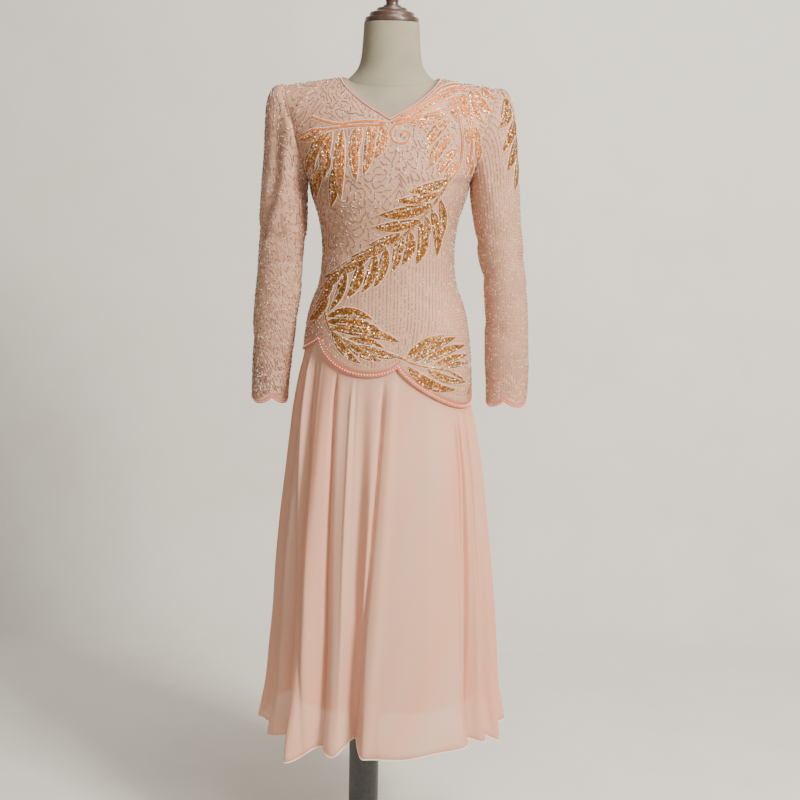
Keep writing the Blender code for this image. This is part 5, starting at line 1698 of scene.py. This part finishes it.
def bead_panel(name, grid, out, rows_region, pitch, sprays, paints, closed=False):
    """Wandering bead lines on one part of a piece of cloth, and upright bead rows on the other."""
    seed = LINE_SEEDS[name]
    grid, out = dense(grid, out, BEAD_DENSITY)
    s, t = arc_lengths(grid)
    if closed:
        s = s - s[:, :1]
        girth = s[:, -1].mean()
        s = np.broadcast_to(girth * np.arange(grid.shape[1]) / (grid.shape[1] - 1), s.shape)
    margin = np.zeros(s.shape, bool)
    side = 0 if closed else EDGE_ROWS
    margin[EDGE_ROWS:-EDGE_ROWS, side:margin.shape[1] - side] = True
    region = rows_region(grid) if callable(rows_region) else np.full(s.shape, rows_region)
    if (~region).any():
        field = wave_field(s, t, pitch, seed)
        places, outs, ways = zero_line_spots(grid, out, field, margin & ~region)
        lay_kept(name + "_line_beads", places, outs, ways, LINE_BEAD, sprays, paints)
    if region.any():
        places, outs, ways = row_spots(grid, out, s, t, ROW_PITCH, ROW_GAP, margin & region, seed)
        lay_kept(name + "_row_beads", places, outs, ways, ROW_BEAD, sprays, paints)


def lay_kept(name, places, outs, ways, size, sprays, paints):
    if sprays is not None:
        keep = clear_of(sprays, places)
        places, outs, ways = places[keep], outs[keep], ways[keep]
    finish_piece(lay_beads(name, places, outs, ways, size, [paints["thread"]]))


# Zip
def add_zip(paints):
    z = np.linspace(0, 1, ZIP_STEPS)
    low = braid_top_behind()
    start = low + (HIP_SEAM_Z - low) / 2
    heights = start + (BACK_NECK_Z - start) * z
    middle = body_point(0.0, heights, True)
    out = unit(body_normals(np.zeros(len(heights)), heights, True, BACK_NECK_Z) * (0, 1, 1))
    across_tape = np.linspace(-1, 1, ZIP_COLUMNS)
    wide = ZIP_HALF_WIDTH * across_tape
    rise = ZIP_PROUD * np.cos(across_tape * math.pi / 2) ** 0.5
    grid = middle[:, None] + np.array((1.0, 0, 0)) * wide[None, :, None] + out[:, None] * rise[None, :, None]
    tape = shell("zip_tape", grid, [paints["tape"]], flip=True)
    finish_piece(tape, ["zip_chain"])
    line, ways = even_line(middle, out, TOOTH_GAP, closed=False)
    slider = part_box("zip_slider")
    keep = line[:, 2] < slider[0].z - TOOTH_GAP
    line, ways = line[keep], ways[keep]
    sign = np.where(np.arange(len(line)) % 2, 1.0, -1.0)[:, None]
    places = line + np.array((1.0, 0, 0)) * sign * TOOTH_SIZE[1] * TOOTH_APART + ways * ZIP_PROUD * TOOTH_SUNK
    up = np.gradient(line, axis=0)
    teeth = many("zip_teeth", tooth_shape(), places, up, ways, TOOTH_SIZE, [paints["tape"]], False)
    finish_piece(teeth)


# Form and stand
def form_panel(back):
    w = panel_columns(FORM_COLUMNS)
    z = panel_heights(w, back, *FORM_ROWS)
    ww = np.broadcast_to(w, z.shape)
    keep = z[:, len(w) // 2] > FORM_FROM_Z
    out = body_normals(ww, z, back, z[-1])
    fall = (SHOULDER_NECK_Z - SHOULDER_END_Z) / (SHOULDER_END_X - SHOULDER_NECK_X)
    shoulder = np.abs(w) >= NECK_COLUMN_AT - TINY
    out[-1, shoulder] = unit(np.stack([np.sign(w) * fall, 0 * w, 1 + 0 * w], axis=-1))[shoulder]
    out[:, 0] = unit(out[:, 0] * (1, 0, 1))
    out[:, -1] = unit(out[:, -1] * (1, 0, 1))
    grid = body_point(ww, z, back) - out * FORM_INSET
    grid[-1, shoulder, 1] = 0.0
    return grid[keep]


def neck_ring(values, count):
    z, wide, front, back, tilt = values
    a = -math.pi / 2 + math.pi * np.arange(count) / (count - 1)
    first = np.stack([wide * np.sin(a), front * np.cos(a), z + tilt * np.cos(a)], axis=-1)
    a = a[1:-1] + math.pi
    second = np.stack([wide * np.sin(a), -back * np.cos(a), z + 0 * a], axis=-1)
    return np.concatenate([first, second])


def add_form(paints):
    """Linen skin of the form: chest, shoulders and neck."""
    front, back = form_panel(False), form_panel(True)
    low, high = FORM_COLUMNS, 3 * FORM_COLUMNS
    base = np.concatenate([front[-1, low:high + 1], back[-1, low + 1:high][::-1]])
    count = 2 * FORM_COLUMNS + 1
    keys = np.arange(len(NECK_RINGS))
    curves = [Column(NECK_RINGS, k, keys) for k in range(len(NECK_RINGS[0]))]
    at = np.linspace(0, keys[-1], NECK_STEPS * keys[-1] + 1)
    rings = [neck_ring([curve(v) for curve in curves], count) for v in at]
    blend = [base + (rings[0] - base) * f for f in np.linspace(0, 1, NECK_BLEND)[1:-1]]
    neck = np.array([base] + blend + rings)
    bm = bmesh.new()
    for grid, closed, flip in ((front, False, False), (back, False, True), (neck, True, False)):
        quads, _ = grid_faces(grid.shape[0], grid.shape[1], closed, flip)
        verts = [bm.verts.new(p) for p in grid.reshape(-1, 3)]
        for quad in quads:
            bm.faces.new([verts[i] for i in quad])
    bmesh.ops.remove_doubles(bm, verts=bm.verts, dist=WELD)
    bmesh.ops.holes_fill(bm, edges=bm.edges, sides=0)
    bmesh.ops.recalc_face_normals(bm, faces=bm.faces)
    mesh = bpy.data.meshes.new("form_skin")
    bm.to_mesh(mesh)
    bm.free()
    co = np.array([v.co for v in mesh.vertices])
    map_points(mesh, co[:, (0, 2)])
    mesh.shade_smooth()
    obj = add_object("form_skin", mesh, [paints["linen"]])
    make_active(obj)
    bpy.ops.object.shade_smooth_by_angle(angle=FORM_SHARP)
    finish_piece(obj, ["form_torso"])
    seam, _ = even_line(rings[1], unit(rings[1] * (1, 1, 0)), SEAM_STEP)
    ring = tube("form_neck_seam", seam, unit(seam * (1, 1, 0)), SEAM_SIZE, SEAM_SIDES, [paints["linen"]])
    finish_piece(ring)


def turned(name, profile, paint, slot, stands_for):
    """Turned piece: a disc drawn up ring by ring through its profile."""
    deselect()
    radius, z = profile[0]
    centre = Vector((0.0, NECK_AXIS_Y, z))
    bpy.ops.mesh.primitive_circle_add(vertices=TURNED_SIDES, radius=radius, fill_type="NGON", location=centre)
    obj = bpy.context.object
    obj.name = name
    obj.data.name = name
    bpy.ops.object.mode_set(mode="EDIT")
    bpy.ops.mesh.select_all(action="SELECT")
    for (before, z0), (after, z1) in zip(profile, profile[1:]):
        bpy.ops.mesh.extrude_region_move(TRANSFORM_OT_translate={"value": (0, 0, z1 - z0)})
        scale = after / before
        bpy.ops.transform.resize(value=(scale, scale, 1), center_override=(0, NECK_AXIS_Y, z1))
    bpy.ops.mesh.select_all(action="SELECT")
    bpy.ops.mesh.normals_make_consistent(inside=False)
    bpy.ops.object.mode_set(mode="OBJECT")
    bpy.ops.object.transform_apply(location=True, rotation=True, scale=True)
    bpy.ops.object.shade_smooth_by_angle(angle=TURNED_SHARP)
    obj.data.materials.append(paint)
    finish_piece(obj, [stands_for])


def paint_nodes(paints):
    """Finish of the hard CAD nodes that are shown as they are."""
    for node, paint in (("form_base_plate", "steel"), ("stand_column", "steel"), ("stand_foot", "steel"),
                        ("zip_slider", "brass"), ("zip_pull", "brass")):
        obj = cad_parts[node]
        obj.data.materials.clear()
        obj.data.materials.append(paints[paint])
        make_active(obj)
        bpy.ops.object.shade_smooth_by_angle(angle=PLAIN_SHARP)


# Studio
def add_camera():
    data = bpy.data.cameras.new("camera")
    data.lens, data.sensor_width = LENS, SENSOR
    camera = bpy.data.objects.new("camera", data)
    bpy.context.scene.collection.objects.link(camera)
    forward = Vector((0, math.cos(CAMERA_PITCH), -math.sin(CAMERA_PITCH)))
    plain_up = Vector((0, math.sin(CAMERA_PITCH), math.cos(CAMERA_PITCH)))
    right = Vector((math.cos(CAMERA_ROLL), 0, 0)) + plain_up * math.sin(CAMERA_ROLL)
    up = plain_up * math.cos(CAMERA_ROLL) - Vector((math.sin(CAMERA_ROLL), 0, 0))
    turn = Matrix((right, up, -forward)).transposed()
    camera.matrix_world = Matrix.Translation((CAMERA_X, CAMERA_Y, CAMERA_Z)) @ turn.to_4x4()
    bpy.context.scene.camera = camera


def add_studio(paints):
    """Pale floor that curves up into a backdrop, and soft light."""
    deselect()
    bpy.ops.mesh.primitive_plane_add(size=1.0, location=(0, 0, 0))
    floor = bpy.context.object
    floor.name = "backdrop"
    bpy.ops.object.mode_set(mode="EDIT")
    bpy.ops.transform.resize(value=(FLOOR_WIDTH, FLOOR_DEPTH, 1), center_override=(0, 0, 0))
    bpy.ops.transform.translate(value=(0, WALL_Y - FLOOR_DEPTH / 2, 0))
    bpy.ops.mesh.select_all(action="DESELECT")
    bpy.ops.object.mode_set(mode="OBJECT")
    for edge in floor.data.edges:
        edge.select = all(floor.data.vertices[v].co.y > WALL_Y - TINY for v in edge.vertices)
    bpy.ops.object.mode_set(mode="EDIT")
    bpy.ops.mesh.select_mode(type="EDGE")
    bpy.ops.mesh.extrude_region_move(TRANSFORM_OT_translate={"value": (0, 0, WALL_HEIGHT)})
    bpy.ops.mesh.select_all(action="SELECT")
    bpy.ops.mesh.normals_make_consistent(inside=False)
    bpy.ops.object.mode_set(mode="OBJECT")
    bend = floor.modifiers.new("bend", "BEVEL")
    bend.width, bend.segments = WALL_BEND, BEND_STEPS
    bpy.ops.object.modifier_apply(modifier="bend")
    bpy.ops.object.transform_apply(location=True, rotation=True, scale=True)
    if sum(face.normal.z for face in floor.data.polygons) < 0:
        floor.data.flip_normals()
    floor.data.shade_smooth()
    floor.data.materials.append(paints["floor"])
    for name, place, aim, size, power, colour in LIGHTS:
        data = bpy.data.lights.new(name, "AREA")
        data.energy, data.size, data.color = power, size, colour
        light = bpy.data.objects.new(name, data)
        bpy.context.scene.collection.objects.link(light)
        light.location = place
        light.rotation_euler = (Vector(aim) - Vector(place)).to_track_quat("-Z", "Y").to_euler()
    world = bpy.data.worlds.new("studio")
    world.use_nodes = True
    world.node_tree.nodes["Background"].inputs[0].default_value = rgba(WORLD_COLOUR)
    world.node_tree.nodes["Background"].inputs[1].default_value = WORLD_STRENGTH
    bpy.context.scene.world = world


def main():
    add_camera()
    paints = make_paints()
    add_studio(paints)
    panels = add_bodice(paints)
    left = add_sleeve("left", SLEEVE_LEFT, -1, LEFT_CREASES, paints)
    right = add_sleeve("right", SLEEVE_RIGHT, 1, RIGHT_CREASES, paints)
    add_skirt(paints)
    add_lining(paints)
    add_form(paints)
    turned("cap_turned", CAP_PROFILE, paints["wood"], "turned_wood", "neck_cap")
    turned("finial_turned", FINIAL_PROFILE, paints["wood"], "turned_wood", "neck_finial")
    paint_nodes(paints)
    beaded_braid("hem_edge", *hem_line(HEM_POINTS), BRAID_WIDTH, "corded_edge", ["hem_braid"], paints)
    for name, sleeve in (("left", left), ("right", right)):
        beaded_braid("cuff_edge_" + name, *cuff_line(*sleeve), CUFF_BRAID_WIDTH, "corded_edge",
                     ["cuff_braid_" + name], paints)
    add_neck_edge(paints)
    add_zip(paints)
    ground = Ground((panels["front"][0], False, False), (right[0], True, True))
    sprays = add_sprays(ground, paints)
    add_hanging_beads(ground, paints)
    bead_panel("front", *panels["front"], under_diagonal, LINE_PITCH, sprays, paints)
    bead_panel("back_left", *panels["back_left"], False, LINE_PITCH, None, paints)
    bead_panel("back_right", *panels["back_right"], True, LINE_PITCH, None, paints)
    for name, sleeve, rows in (("sleeve_left", left, False), ("sleeve_right", right, True)):
        grid, out = (np.concatenate([values, values[:, :1]], axis=1) for values in sleeve)
        bead_panel(name, grid, out, rows, SLEEVE_PITCH, sprays if rows else None, paints, True)


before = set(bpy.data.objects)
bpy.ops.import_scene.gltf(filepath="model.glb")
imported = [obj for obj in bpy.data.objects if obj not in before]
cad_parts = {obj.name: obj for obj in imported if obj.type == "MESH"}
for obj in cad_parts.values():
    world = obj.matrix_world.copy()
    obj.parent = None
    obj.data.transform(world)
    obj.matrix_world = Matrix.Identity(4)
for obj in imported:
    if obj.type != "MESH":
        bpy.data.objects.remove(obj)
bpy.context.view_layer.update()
main()
